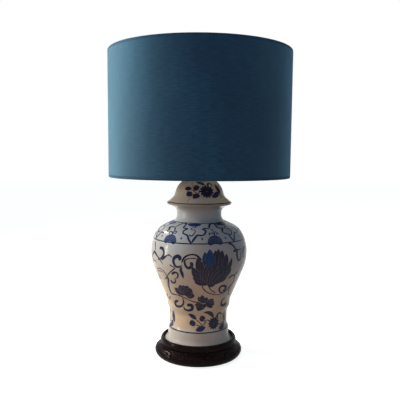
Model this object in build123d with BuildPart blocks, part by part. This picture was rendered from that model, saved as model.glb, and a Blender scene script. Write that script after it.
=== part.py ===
"""Ginger jar table lamp, in millimetres.

A porcelain temple jar with its domed lid stands in a carved hardwood stand. A threaded tube
runs up the axis from a nut under the stand, through the jar and the lid, and clamps them.
It carries a brass lampholder with a push-bar switch, a screw-cap bulb and a drum shade,
whose bottom spider is gripped between two threaded shade rings.

The origin is the middle of the underside, +Z is up and the front faces -Y.
"""

import os
from math import atan2, cos, degrees, radians, sin, tan

from build123d import *

# ---------------------------------------------------------------- driving dimensions
# Wooden stand
felt_thickness = 1.5
felt_radius = 80.0
stand_foot_radius = 85.5
stand_bulge_radius = 94.8
stand_bulge_height = 14.5  # widest point of the bulge, above the table
stand_bulge_round = 7.0
stand_bulge_sweep = 52.0
stand_shoulder_radius = 81.0  # where the shoulder meets the ring
stand_shoulder_height = 28.0
stand_ring_radius = 82.3
stand_ring_height = 43.0  # top of the ring that surrounds the jar's foot
seat_height = 34.0  # floor of the recess that the jar stands in
seat_clearance = 1.0
nut_pocket_radius = 22.0
nut_pocket_height = 16.0  # ceiling of the pocket, above the table

# Carving on the stand's shoulder: arched grooves that end in round drops
lobe_count = 6
lobe_half_angle = 23.0
lobe_groove_radius = 1.7
lobe_drop_radius = 2.6
lobe_drop_height = 19.5
carving_radius_at_drop = 92.3
carving_radius_at_top = 83.0
lobe_top_height = 26.5

# Jar
gasket_thickness = 1.0
jar_wall = 4.5
jar_foot_radius = 74.0
jar_toe_height = 3.0
skirt_arc_radius = 16.0
skirt_lean = 60.0  # degrees from upright at the toe
skirt_waist_radius = 66.0
foot_line_radius = 65.0
foot_line_height = 66.5  # painted line round the foot, above the table
waist_radius = 62.2
waist_flare_radius = 20.0
waist_flare_lean = 30.0
ridge_radius = 68.4  # rounded ridge under the body
ridge_round = 10.0
ridge_lean = 24.0
ridge_hollow = 25.0
body_hollow = 40.0
body_lean = 22.5
belly_radius = 103.5
belly_height = 230.0
belly_lower_arc = 100.0
shoulder_arc = 80.3
shoulder_arc_sweep = 31.6
shoulder_top_arc = 39.3
shoulder_top_sweep = 33.6
neck_radius = 48.0
neck_hollow = 14.0
neck_straight = 4.6
mouth_flare = 16.0
mouth_slope = 20.0  # degrees by which the mouth's underside rises outwards
mouth_radius = 69.3
mouth_thickness = 2.4
jar_floor = 6.0
jar_foot_recess = 6.0
foot_ring_width = 8.0

# Lid
lid_rim_radius = 70.0
lid_rim_thickness = 1.3
lid_wall = 4.5
lid_flange_radius = 20.0
lid_side_radius = 52.0
lid_side_height = 22.27  # where the flange turns into the dome, above the mouth
lid_lean = 11.2
lid_flange_sweep = 39.2
lid_dome_radius = 39.9
lid_tongue_depth = 12.0
lid_tongue_wall = 4.0
lid_tongue_clearance = 1.0

# Threaded tube and its fastenings
rod_radius = 5.0
rod_bore_radius = 3.5
rod_below_nut = 3.0
rod_into_holder = 7.0
rod_clearance = 0.1
hole_clearance = 0.6
nut_across_flats = 17.0
nut_thickness = 6.0
washer_radius = 16.0
washer_thickness = 1.5
lid_gasket_radius = 14.0
vase_cap_radius = 17.0
vase_cap_height = 6.0
vase_cap_rim = 1.2
neck_tube_radius = 7.5
neck_tube_length = 8.0
check_nut_across_flats = 14.0
check_nut_thickness = 4.0

# Cord outlet in the back of the stand
bush_height = 9.0
bush_bore_radius = 3.5
bush_radius = 5.0
bush_flange_radius = 6.5
bush_flange_thickness = 2.0
bush_length = 14.0
bush_seat_radius = 87.5  # distance from the axis to the flange's seat
bush_fit = 0.1

# Lampholder, heights counted from its own underside
holder_boss_radius = 8.5
holder_boss_height = 5.0
holder_shoulder_height = 13.0
holder_cap_height = 25.0
holder_radius = 20.0
holder_wall = 1.2
sleeve_spigot_start = 21.0
sleeve_height = 58.0
sleeve_bore_radius = 17.2
sleeve_fit = 0.1
insert_start = 12.0
insert_height = 15.0
insert_fit = 0.2
shell_bore_radius = 13.5
shell_wall = 0.5
shell_height = 22.0
contact_width = 5.0
contact_thickness = 0.6
contact_rise = 3.2
contact_length = 10.0
terminal_radius = 2.2
terminal_head = 1.5
terminal_spacing = 17.0
grub_radius = 1.5
grub_length = 4.4

# Push-bar switch
bar_height = 17.0
bar_radius = 2.2
bar_clearance = 0.35
knob_radius = 3.8
knob_length = 5.0
switch_travel = 6.0
switch_gap = 0.6

# Shade rings and the shade's fitter
fitter_height = 38.0  # underside of the fitter ring, above the lampholder's underside
fitter_thickness = 2.0
fitter_bore_radius = 21.0
fitter_radius = 32.0
shade_ring_collar = 24.0
shade_ring_collar_height = 5.0
shade_ring_flange = 28.0
shade_ring_flange_thickness = 1.8
shade_ring_fit = 0.15
running_gap = 0.3

# Bulb, heights counted from the tip of its contact
bulb_radius = 30.0
bulb_length = 110.0
bulb_contact_radius = 4.5
bulb_contact_thickness = 1.6
bulb_insulator_height = 4.0
bulb_insulator_radius = 11.5
bulb_cap_radius = 13.1
bulb_cap_height = 20.0
bulb_collar_radius = 14.5
bulb_housing_height = 28.0
bulb_shell_wall = 1.2
bulb_cup_foot = 2.0
bulb_cup_hollow = 10.0
bulb_seat_gap = 0.3
led_board_thickness = 1.6
led_radius = 1.8
led_height = 0.8
led_count = 9
led_circle_radius = 18.0
board_clearance = 0.2

# Shade
shade_top_radius = 194.0
shade_taper = 1.2  # how much smaller the radius is at the bottom edge
shade_height = 263.5
shade_bottom_height = 389.0  # above the table
fabric_thickness = 0.7
liner_thickness = 0.8
hem_height = 6.0
wire_radius = 1.75
arm_radius = 1.75
arm_count = 3
arm_clearance = 0.15
arm_end_inset = 1.0  # how far the arms' inner ends lie inside the fitter ring's edge

# ---------------------------------------------------------------- derived places
toe_bottom = seat_height + gasket_thickness
toe_top = toe_bottom + jar_toe_height
seat_radius = jar_foot_radius + seat_clearance

lower_arc_end_radius = belly_radius - belly_lower_arc * (1 - cos(radians(body_lean)))
taper_length = (
    lower_arc_end_radius - ridge_radius - body_hollow * (1 - cos(radians(body_lean)))
) / sin(radians(body_lean))
ridge_step = ridge_radius - waist_radius
ridge_line = (
    ridge_step - (ridge_round + ridge_hollow) * (1 - cos(radians(ridge_lean)))
) / sin(radians(ridge_lean))

shoulder_lean = shoulder_arc_sweep + shoulder_top_sweep
shoulder_end_radius = (
    belly_radius
    - shoulder_arc * (1 - cos(radians(shoulder_arc_sweep)))
    - shoulder_top_arc * (cos(radians(shoulder_arc_sweep)) - cos(radians(shoulder_lean)))
)
shoulder_end_height = (
    belly_height
    + shoulder_arc * sin(radians(shoulder_arc_sweep))
    + shoulder_top_arc * (sin(radians(shoulder_lean)) - sin(radians(shoulder_arc_sweep)))
)
ledge_length = (
    shoulder_end_radius - neck_radius - neck_hollow * (1 - cos(radians(shoulder_lean)))
) / sin(radians(shoulder_lean))
neck_start_height = (
    shoulder_end_height
    + ledge_length * cos(radians(shoulder_lean))
    + neck_hollow * sin(radians(shoulder_lean))
)
edge_radius = mouth_thickness / 2
brim_run = (
    mouth_radius - edge_radius * (1 - sin(radians(mouth_slope)))
    - neck_radius - mouth_flare * (1 - sin(radians(mouth_slope)))
)
mouth_rise = mouth_flare * cos(radians(mouth_slope)) + brim_run * tan(radians(mouth_slope))
mouth_height = (
    neck_start_height + neck_straight + mouth_rise + edge_radius * (1 + cos(radians(mouth_slope)))
)
mouth_bore_radius = neck_radius - jar_wall

lid_side_top = mouth_height + lid_side_height
dome_centre_radius = lid_side_radius - lid_dome_radius * cos(radians(lid_lean))
dome_centre_height = lid_side_top - lid_dome_radius * sin(radians(lid_lean))
lid_height = dome_centre_height + lid_dome_radius

vase_cap_start = lid_height + gasket_thickness
neck_tube_start = vase_cap_start + vase_cap_height
check_nut_start = neck_tube_start + neck_tube_length
holder_start = check_nut_start + check_nut_thickness
rod_top = holder_start + rod_into_holder

washer_start = nut_pocket_height - washer_thickness
nut_start = washer_start - nut_thickness
rod_bottom = nut_start - rod_below_nut

insert_top = holder_start + insert_start + insert_height
bulb_start = insert_top + contact_rise + contact_thickness + bulb_seat_gap
fitter_start = holder_start + fitter_height
shade_top_height = shade_bottom_height + shade_height
shade_bottom_radius = shade_top_radius - shade_taper
hem_width = 2 * (wire_radius + fabric_thickness)


# ---------------------------------------------------------------- shared shapes
def ring(outer, inner, thickness, height):
    """A flat ring, or a tube, on the lamp's axis."""
    with BuildPart() as flat_ring:
        with BuildSketch(Plane.XY.offset(height)):
            Circle(outer)
            Circle(inner, mode=Mode.SUBTRACT)
        extrude(amount=thickness)
    return flat_ring


def hex_nut(across_flats, thickness, height):
    """A hexagon nut on the threaded tube, its top edge rounded off as turned nuts are."""
    with BuildPart() as nut:
        with BuildSketch(Plane.XY.offset(height)):
            RegularPolygon(across_flats / 2, 6, major_radius=False)
            Circle(rod_radius + rod_clearance, mode=Mode.SUBTRACT)
        extrude(amount=thickness)
        with BuildSketch(Plane.XZ) as corner:
            corner_radius = across_flats / 2 / cos(radians(30))
            nut_chamfer = (corner_radius - across_flats / 2) * 0.6
            with BuildLine():
                Polyline(
                    (across_flats / 2, height + thickness),
                    (corner_radius + 1, height + thickness),
                    (corner_radius + 1, height + thickness - nut_chamfer),
                    close=True,
                )
            make_face()
        revolve(axis=Axis.Z, mode=Mode.SUBTRACT)
    return nut


def finish(piece, name):
    """Names a finished piece and writes it."""
    piece.part.label = name
    export_step(piece.part, f"parts/{name}.step")


os.makedirs("parts", exist_ok=True)

# ---------------------------------------------------------------- stand
with BuildPart() as felt_pad:
    with BuildSketch():
        Circle(felt_radius)
    extrude(amount=felt_thickness)
finish(felt_pad, "felt_pad")

with BuildPart() as wooden_stand:
    with BuildSketch(Plane.XZ):
        ring_middle = (stand_shoulder_height + stand_ring_height) / 2
        with BuildLine():
            under = Line((0, felt_thickness), (stand_foot_radius, felt_thickness))
            widest = (stand_bulge_radius, stand_bulge_height)
            TangentArc(widest, under @ 1, tangent=(0, -1))
            bulge = JernArc(widest, (0, 1), stand_bulge_round, stand_bulge_sweep)
            upper = TangentArc(
                bulge @ 1, (stand_shoulder_radius, stand_shoulder_height), tangent=bulge % 1
            )
            bead = ThreePointArc(
                upper @ 1,
                (stand_ring_radius, ring_middle),
                (stand_shoulder_radius - 1, stand_ring_height - 1),
            )
            lip = ThreePointArc(
                bead @ 1,
                ((stand_shoulder_radius + seat_radius) / 2, stand_ring_height),
                (seat_radius, stand_ring_height - 1.5),
            )
            seat_wall = Line(lip @ 1, (seat_radius, seat_height))
            seat = Line(seat_wall @ 1, (0, seat_height))
            Line(seat @ 1, under @ 0)
        make_face()
    revolve(axis=Axis.Z)
    # pocket for the nut, bore for the tube, channel for the cord and seat for its bush
    with BuildSketch(Plane.XY.offset(felt_thickness)):
        Circle(nut_pocket_radius)
    extrude(amount=nut_pocket_height - felt_thickness, mode=Mode.SUBTRACT)
    with BuildSketch(Plane.XY.offset(felt_thickness)):
        Circle(rod_radius + hole_clearance)
    extrude(amount=seat_height, mode=Mode.SUBTRACT)
    back = Plane(origin=(0, 0, bush_height), x_dir=(1, 0, 0), z_dir=(0, 1, 0))
    with BuildSketch(back):
        Circle(bush_radius + bush_fit)
    extrude(amount=stand_bulge_radius + 1, mode=Mode.SUBTRACT)
    with BuildSketch(back.offset(bush_seat_radius)):
        Circle(bush_flange_radius + bush_fit)
    extrude(amount=stand_bulge_radius, mode=Mode.SUBTRACT)
    # carved lobes: an arched groove through three points of the shoulder, with a drop at each end
    for lobe in range(lobe_count):
        middle = 270 + lobe * 360 / lobe_count
        left, right = (
            Vector(
                carving_radius_at_drop * cos(radians(middle + side * lobe_half_angle)),
                carving_radius_at_drop * sin(radians(middle + side * lobe_half_angle)),
                lobe_drop_height,
            )
            for side in (-1, 1)
        )
        top = Vector(
            carving_radius_at_top * cos(radians(middle)),
            carving_radius_at_top * sin(radians(middle)),
            lobe_top_height,
        )
        with BuildLine() as arch:
            ThreePointArc(left, top, right)
        with BuildSketch(Plane(origin=arch.line @ 0, z_dir=arch.line % 0)):
            Circle(lobe_groove_radius)
        sweep(path=arch.line, mode=Mode.SUBTRACT)
        with Locations(left, right):
            Sphere(lobe_drop_radius, mode=Mode.SUBTRACT)
finish(wooden_stand, "wooden_stand")

with BuildPart() as cord_bush:
    with BuildSketch(back.offset(bush_seat_radius - bush_length)):
        Circle(bush_radius)
        Circle(bush_bore_radius, mode=Mode.SUBTRACT)
    extrude(amount=bush_length)
    with BuildSketch(back.offset(bush_seat_radius)):
        Circle(bush_flange_radius)
        Circle(bush_bore_radius, mode=Mode.SUBTRACT)
    extrude(amount=bush_flange_thickness)
finish(cord_bush, "cord_bush")

finish(hex_nut(nut_across_flats, nut_thickness, nut_start), "base_nut")
finish(
    ring(washer_radius, rod_radius + rod_clearance, washer_thickness, washer_start),
    "base_washer",
)

# ---------------------------------------------------------------- jar
finish(
    ring(
        jar_foot_radius - 1,
        jar_foot_radius - foot_ring_width + 1,
        gasket_thickness,
        seat_height,
    ),
    "jar_gasket",
)


def body_curve(inset):
    """Draws the jar's side from the waist to the neck, inset from the glaze, in the open BuildLine.

    Returns the curve's lower and upper ends.
    """
    lower = JernArc(
        (belly_radius - inset, belly_height), (0, -1), belly_lower_arc - inset, -body_lean
    )
    taper = PolarLine(lower @ 1, taper_length, direction=lower % 1)
    hollow = JernArc(taper @ 1, taper % 1, body_hollow + inset, body_lean)
    ridge = JernArc(hollow @ 1, hollow % 1, ridge_round - inset, -ridge_lean)
    step = PolarLine(ridge @ 1, ridge_line, direction=ridge % 1)
    waist = JernArc(step @ 1, step % 1, ridge_hollow + inset, ridge_lean)
    shoulder = JernArc(
        (belly_radius - inset, belly_height), (0, 1), shoulder_arc - inset, shoulder_arc_sweep
    )
    crown = JernArc(shoulder @ 1, shoulder % 1, shoulder_top_arc - inset, shoulder_top_sweep)
    ledge = PolarLine(crown @ 1, ledge_length, direction=crown % 1)
    neck = JernArc(ledge @ 1, ledge % 1, neck_hollow + inset, -shoulder_lean)
    return waist @ 1, neck @ 1


with BuildPart() as jar:
    with BuildSketch(Plane.XZ):
        with BuildLine():
            waist_top, neck_bottom = body_curve(0)
            flare_top = Vector(
                waist_radius + waist_flare_radius * (1 - cos(radians(waist_flare_lean))),
                foot_line_height + 1,
            )
            flare_start = flare_top.Y + waist_flare_radius * sin(radians(waist_flare_lean))
            waist_side = Line(waist_top, (waist_radius, flare_start))
            flare = JernArc(waist_side @ 1, (0, -1), waist_flare_radius, waist_flare_lean)
            foot_corner = Line(flare @ 1, (foot_line_radius + 0.3, foot_line_height - 1))
            skirt_top = toe_top + skirt_arc_radius * sin(radians(skirt_lean))
            skirt_side = Line(foot_corner @ 1, (skirt_waist_radius, skirt_top))
            skirt = JernArc(skirt_side @ 1, (0, -1), skirt_arc_radius, skirt_lean)
            toe = Line(skirt @ 1, (jar_foot_radius, toe_bottom))
            foot = Line(toe @ 1, (0, toe_bottom))
            neck_side = Line(neck_bottom, (neck_radius, neck_start_height + neck_straight))
            mouth = JernArc(neck_side @ 1, (0, 1), mouth_flare, mouth_slope - 90)
            brim_length = brim_run / cos(radians(mouth_slope))
            brim = PolarLine(mouth @ 1, brim_length, direction=mouth % 1)
            edge = JernArc(brim @ 1, brim % 1, edge_radius, 180 - mouth_slope)
            rim = Line(edge @ 1, (0, mouth_height))
            Line(rim @ 1, foot @ 1)
        make_face()
    revolve(axis=Axis.Z)
    # the hollow inside
    with BuildSketch(Plane.XZ):
        with BuildLine():
            waist_top, neck_bottom = body_curve(jar_wall)
            floor_height = toe_bottom + jar_foot_recess + jar_floor
            inner_waist = Line(waist_top, (waist_radius - jar_wall, floor_height))
            inner_floor = Line(inner_waist @ 1, (0, floor_height))
            inner_neck = Line(neck_bottom, (mouth_bore_radius, mouth_height))
            inner_rim = Line(inner_neck @ 1, (0, mouth_height))
            Line(inner_rim @ 1, inner_floor @ 1)
        make_face()
    revolve(axis=Axis.Z, mode=Mode.SUBTRACT)
    # the foot ring's recess and the drilled hole for the tube
    with BuildSketch(Plane.XY.offset(toe_bottom)):
        Circle(jar_foot_radius - foot_ring_width)
    extrude(amount=jar_foot_recess, mode=Mode.SUBTRACT)
    with BuildSketch(Plane.XY.offset(toe_bottom)):
        Circle(rod_radius + 2 * hole_clearance)
    extrude(amount=jar_foot_recess + jar_floor, mode=Mode.SUBTRACT)
finish(jar, "jar")

# ---------------------------------------------------------------- lid
with BuildPart() as lid:
    with BuildSketch(Plane.XZ):
        down_and_out = (sin(radians(lid_lean)), -cos(radians(lid_lean)))
        with BuildLine():
            flange = JernArc(
                (lid_side_radius, lid_side_top), down_and_out, lid_flange_radius, lid_flange_sweep
            )
            rim_lean = lid_lean + lid_flange_sweep
            rim_run = lid_rim_radius - (flange @ 1).X
            rim_top = Line(
                flange @ 1,
                (lid_rim_radius, (flange @ 1).Y - rim_run / tan(radians(rim_lean))),
            )
            rim_edge = Line(
                rim_top @ 1, (lid_rim_radius - 0.4, (rim_top @ 1).Y - lid_rim_thickness)
            )
            underside = Line(rim_edge @ 1, (mouth_radius - 1, mouth_height))
            seat_face = Line(underside @ 1, (0, mouth_height))
            up_and_in = (-sin(radians(lid_lean)), cos(radians(lid_lean)))
            dome = JernArc(
                (lid_side_radius, lid_side_top), up_and_in, lid_dome_radius, 90 - lid_lean
            )
            crown = Line(dome @ 1, (0, lid_height))
            Line(crown @ 1, seat_face @ 1)
        make_face()
    revolve(axis=Axis.Z)
    tongue_radius = mouth_bore_radius - lid_tongue_clearance
    with BuildSketch(Plane.XY.offset(mouth_height - lid_tongue_depth)):
        Circle(tongue_radius)
    extrude(amount=lid_tongue_depth)
    # the hollow under the dome, open through the tongue
    with BuildSketch(Plane.XZ):
        hollow_radius = tongue_radius - lid_tongue_wall
        with BuildLine():
            inner_dome = CenterArc(
                (dome_centre_radius, dome_centre_height),
                lid_dome_radius - lid_wall,
                lid_lean,
                90 - lid_lean,
            )
            inner_side = Line(inner_dome @ 0, ((inner_dome @ 0).X, mouth_height + lid_wall))
            inner_ledge = Line(inner_side @ 1, (hollow_radius, mouth_height + lid_wall))
            inner_tongue = Line(
                inner_ledge @ 1, (hollow_radius, mouth_height - lid_tongue_depth)
            )
            tongue_end = Line(inner_tongue @ 1, (0, mouth_height - lid_tongue_depth))
            inner_crown = Line(inner_dome @ 1, (0, lid_height - lid_wall))
            Line(inner_crown @ 1, tongue_end @ 1)
        make_face()
    revolve(axis=Axis.Z, mode=Mode.SUBTRACT)
    with BuildSketch(Plane.XY.offset(lid_height - lid_wall)):
        Circle(rod_radius + hole_clearance)
    extrude(amount=lid_wall, mode=Mode.SUBTRACT)
finish(lid, "lid")

# ---------------------------------------------------------------- tube and clamping parts
finish(ring(rod_radius, rod_bore_radius, rod_top - rod_bottom, rod_bottom), "lamp_rod")
finish(
    ring(lid_gasket_radius, rod_radius + rod_clearance, gasket_thickness, lid_height),
    "lid_gasket",
)

with BuildPart() as vase_cap:
    with BuildSketch(Plane.XZ):
        with BuildLine():
            cap_bottom = Line(
                (rod_radius + rod_clearance, vase_cap_start), (vase_cap_radius, vase_cap_start)
            )
            cap_rim = Line(cap_bottom @ 1, (vase_cap_radius, vase_cap_start + vase_cap_rim))
            cap_dome = TangentArc(
                cap_rim @ 1, (neck_tube_radius + 1.5, neck_tube_start), tangent=(-1, 0.35)
            )
            cap_top = Line(cap_dome @ 1, (rod_radius + rod_clearance, neck_tube_start))
            Line(cap_top @ 1, cap_bottom @ 0)
        make_face()
    revolve(axis=Axis.Z)
finish(vase_cap, "vase_cap")

finish(
    ring(neck_tube_radius, rod_radius + rod_clearance, neck_tube_length, neck_tube_start),
    "neck_tube",
)
finish(hex_nut(check_nut_across_flats, check_nut_thickness, check_nut_start), "check_nut")

# ---------------------------------------------------------------- lampholder
bar_axis_height = holder_start + bar_height
across = Plane(origin=(0, 0, bar_axis_height), x_dir=(0, 1, 0), z_dir=(1, 0, 0))

with BuildPart() as holder_cap:
    with BuildSketch(Plane.XZ):
        boss_top = holder_start + holder_boss_height
        shoulder_top = holder_start + holder_shoulder_height
        cap_top_height = holder_start + holder_cap_height
        inner_radius = holder_radius - holder_wall
        with BuildLine():
            entry = Line(
                (rod_radius + rod_clearance, holder_start), (holder_boss_radius, holder_start)
            )
            boss = Line(entry @ 1, (holder_boss_radius, boss_top))
            shoulder = TangentArc(boss @ 1, (holder_radius, shoulder_top), tangent=(1, 0.1))
            skirt = Line(shoulder @ 1, (holder_radius, cap_top_height))
            top_edge = Line(skirt @ 1, (inner_radius, cap_top_height))
            inner_skirt = Line(top_edge @ 1, (inner_radius, shoulder_top))
            inner_shoulder = TangentArc(
                (holder_boss_radius, boss_top + holder_wall),
                inner_skirt @ 1,
                tangent=(1, 0.1),
            )
            web = Line(inner_shoulder @ 0, (rod_radius + rod_clearance, boss_top + holder_wall))
            Line(web @ 1, entry @ 0)
        make_face()
    revolve(axis=Axis.Z)
    with BuildSketch(across):
        Circle(bar_radius + bar_clearance)
    extrude(amount=holder_radius + 1, both=True, mode=Mode.SUBTRACT)
    grub_side = Plane(
        origin=(0, 0, holder_start + holder_boss_height / 2), x_dir=(1, 0, 0), z_dir=(0, 1, 0)
    )
    with BuildSketch(grub_side):
        Circle(grub_radius)
    extrude(amount=holder_boss_radius + 1, mode=Mode.SUBTRACT)
finish(holder_cap, "holder_cap")

with BuildPart() as holder_grub_screw:
    with BuildSketch(grub_side.offset(rod_radius)):
        Circle(grub_radius - rod_clearance)
    extrude(amount=grub_length)
    with BuildSketch(grub_side.offset(rod_radius + grub_length)):
        Rectangle(2 * grub_radius, grub_radius / 3)
    extrude(amount=-grub_length / 3, mode=Mode.SUBTRACT)
finish(holder_grub_screw, "holder_grub_screw")

with BuildPart() as holder_insert:
    with BuildSketch(Plane.XY.offset(holder_start + insert_start)):
        Circle(sleeve_bore_radius - insert_fit)
    extrude(amount=insert_height)
    with BuildSketch(across):
        Circle(bar_radius + bar_clearance)
    extrude(amount=holder_radius, both=True, mode=Mode.SUBTRACT)
    with BuildSketch(Plane.XY.offset(holder_start + insert_start)):
        with GridLocations(0, terminal_spacing, 1, 2):
            Circle(terminal_radius / 2 + rod_clearance)
    extrude(amount=insert_height / 3, mode=Mode.SUBTRACT)
finish(holder_insert, "holder_insert")

with BuildPart() as terminal_screws:
    with BuildSketch(Plane.XY.offset(holder_start + insert_start)):
        with GridLocations(0, terminal_spacing, 1, 2):
            Circle(terminal_radius)
    extrude(amount=-terminal_head)
    with BuildSketch(Plane.XY.offset(holder_start + insert_start)):
        with GridLocations(0, terminal_spacing, 1, 2):
            Circle(terminal_radius / 2)
    extrude(amount=insert_height / 3)
    with BuildSketch(Plane.XY.offset(holder_start + insert_start - terminal_head)):
        with GridLocations(0, terminal_spacing, 1, 2):
            Rectangle(2 * terminal_radius, terminal_radius / 4)
    extrude(amount=terminal_head / 2, mode=Mode.SUBTRACT)
finish(terminal_screws, "terminal_screws")

with BuildPart() as holder_sleeve:
    with BuildSketch(Plane.XY.offset(holder_start + sleeve_spigot_start)):
        Circle(holder_radius - holder_wall - sleeve_fit)
    extrude(amount=holder_cap_height - sleeve_spigot_start)
    with BuildSketch(Plane.XY.offset(holder_start + holder_cap_height)):
        Circle(holder_radius)
    extrude(amount=sleeve_height - holder_cap_height)
    with BuildSketch(Plane.XY.offset(holder_start + sleeve_spigot_start)):
        Circle(sleeve_bore_radius)
    extrude(amount=sleeve_height, mode=Mode.SUBTRACT)
finish(holder_sleeve, "holder_sleeve")

finish(
    ring(shell_bore_radius + shell_wall, shell_bore_radius, shell_height, insert_top),
    "screw_shell",
)

with BuildPart() as centre_contact:
    with BuildSketch(Plane.XZ) as leaf:
        with BuildLine():
            spring = Polyline(
                (-contact_length, insert_top + contact_thickness / 2),
                (-contact_length / 2, insert_top + contact_thickness / 2),
                (-contact_length / 5, insert_top + contact_rise + contact_thickness / 2),
                (contact_length / 4, insert_top + contact_rise + contact_thickness / 2),
            )
            offset(spring, amount=contact_thickness / 2, side=Side.BOTH, kind=Kind.INTERSECTION)
        make_face()
    extrude(amount=contact_width / 2, both=True)
finish(centre_contact, "centre_contact")

with BuildPart() as switch_bar:
    bar_length = 2 * (holder_radius + switch_gap) + switch_travel
    bar_start = -holder_radius - switch_gap - switch_travel
    with BuildSketch(across.offset(bar_start)):
        Circle(bar_radius)
    extrude(amount=bar_length)
    for knob_start, outwards in ((bar_start, -1), (bar_start + bar_length, 1)):
        with BuildSketch(across.offset(knob_start)):
            Circle(knob_radius)
        extrude(amount=outwards * knob_length)
    ends = switch_bar.faces().filter_by(Axis.X).sort_by(Axis.X)
    fillet(ends[0].edges() + ends[-1].edges(), knob_radius * 0.4)
finish(switch_bar, "switch_bar")


# ---------------------------------------------------------------- shade rings
def shade_ring(flange_face, grows):
    """A threaded ring whose flange lies against the fitter ring and whose collar points away."""
    thread_radius = holder_radius + shade_ring_fit
    with BuildPart() as threaded_ring:
        with BuildSketch(Plane.XY.offset(flange_face)):
            Circle(shade_ring_flange)
            Circle(thread_radius, mode=Mode.SUBTRACT)
        extrude(amount=grows * shade_ring_flange_thickness)
        with BuildSketch(Plane.XY.offset(flange_face)):
            Circle(shade_ring_collar)
            Circle(thread_radius, mode=Mode.SUBTRACT)
        extrude(amount=grows * (shade_ring_flange_thickness + shade_ring_collar_height))
    return threaded_ring


finish(shade_ring(fitter_start - running_gap, -1), "lower_shade_ring")
finish(shade_ring(fitter_start + fitter_thickness + running_gap, 1), "upper_shade_ring")

# ---------------------------------------------------------------- bulb
with BuildPart() as bulb_contact:
    with BuildSketch(Plane.XY.offset(bulb_start)):
        Circle(bulb_contact_radius)
    extrude(amount=bulb_contact_thickness)
    fillet(bulb_contact.edges().group_by(Axis.Z)[0], bulb_contact_thickness / 2)
finish(bulb_contact, "bulb_contact")

insulator_start = bulb_start + bulb_contact_thickness
cap_start = insulator_start + bulb_insulator_height
housing_start = cap_start + bulb_cap_height
dome_centre = bulb_start + bulb_length - bulb_radius
with BuildPart() as bulb_insulator:
    with BuildSketch(Plane.XZ):
        with BuildLine():
            Polyline(
                (0, insulator_start),
                (bulb_contact_radius + 0.8, insulator_start),
                (bulb_insulator_radius, cap_start),
                (0, cap_start),
                close=True,
            )
        make_face()
    revolve(axis=Axis.Z)
finish(bulb_insulator, "bulb_insulator")

with BuildPart() as bulb_cap:
    with BuildSketch(Plane.XY.offset(cap_start)):
        Circle(bulb_cap_radius)
        Circle(bulb_cap_radius - shell_wall, mode=Mode.SUBTRACT)
    extrude(amount=bulb_cap_height)
    with BuildSketch(Plane.XY.offset(cap_start)):
        Circle(bulb_cap_radius)
    extrude(amount=shell_wall)
finish(bulb_cap, "bulb_cap")

housing_top = housing_start + bulb_housing_height
cup_rise = bulb_housing_height - bulb_cup_foot
cup_spread = bulb_radius - bulb_collar_radius
cup_sweep = 2 * degrees(atan2(cup_spread, cup_rise))
cup_round = cup_rise / sin(radians(cup_sweep)) - bulb_cup_hollow
with BuildPart() as bulb_housing:
    for inset, mode in ((0, Mode.ADD), (bulb_shell_wall, Mode.SUBTRACT)):
        with BuildSketch(Plane.XZ):
            with BuildLine():
                cup_bottom = Line(
                    (0, housing_start + inset), (bulb_collar_radius - inset, housing_start + inset)
                )
                cup_foot = Line(
                    cup_bottom @ 1, (bulb_collar_radius - inset, housing_start + bulb_cup_foot)
                )
                hollow = JernArc(cup_foot @ 1, (0, 1), bulb_cup_hollow + inset, -cup_sweep)
                cup_side = JernArc(hollow @ 1, hollow % 1, cup_round - inset, cup_sweep)
                cup_top = Line(cup_side @ 1, (0, housing_top))
                Line(cup_top @ 1, cup_bottom @ 0)
            make_face()
        revolve(axis=Axis.Z, mode=mode)
finish(bulb_housing, "bulb_housing")

# the board that carries the light-emitting diodes lies inside the cup's rim
board_radius = bulb_radius - bulb_shell_wall - board_clearance
with BuildPart() as led_board:
    with BuildSketch(Plane.XY.offset(housing_top - led_board_thickness)):
        Circle(board_radius)
    extrude(amount=led_board_thickness)
    with BuildSketch(Plane.XY.offset(housing_top)):
        with PolarLocations(led_circle_radius, led_count):
            Rectangle(2 * led_radius, 2 * led_radius)
    extrude(amount=led_height)
finish(led_board, "led_board")

with BuildPart() as bulb_dome:
    with BuildSketch(Plane.XZ):
        with BuildLine():
            dome_outer = CenterArc((0, dome_centre), bulb_radius, 0, 90)
            side_outer = Line(dome_outer @ 0, (bulb_radius, housing_top))
            foot_edge = Line(side_outer @ 1, (bulb_radius - bulb_shell_wall, housing_top))
            side_inner = Line(foot_edge @ 1, (bulb_radius - bulb_shell_wall, dome_centre))
            dome_inner = CenterArc((0, dome_centre), bulb_radius - bulb_shell_wall, 0, 90)
            Line(dome_inner @ 1, dome_outer @ 1)
        make_face()
    revolve(axis=Axis.Z)
finish(bulb_dome, "bulb_dome")


# ---------------------------------------------------------------- shade
def shade_wall(outer_inset, thickness):
    """The sloping wall between the hems, set in from the shade's outer face."""
    low, high = shade_bottom_height + hem_height, shade_top_height - hem_height
    with BuildPart() as wall:
        with BuildSketch(Plane.XZ):
            with BuildLine():
                Polyline(
                    (shade_bottom_radius - outer_inset, low),
                    (shade_top_radius - outer_inset, high),
                    (shade_top_radius - outer_inset - thickness, high),
                    (shade_bottom_radius - outer_inset - thickness, low),
                    close=True,
                )
            make_face()
        revolve(axis=Axis.Z)
    return wall


def wire_hoop(radius, height):
    """A hoop of round wire."""
    with BuildPart() as hoop:
        with BuildSketch(Plane.XZ):
            with Locations((radius, height)):
                Circle(wire_radius)
        revolve(axis=Axis.Z)
    return hoop


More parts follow.
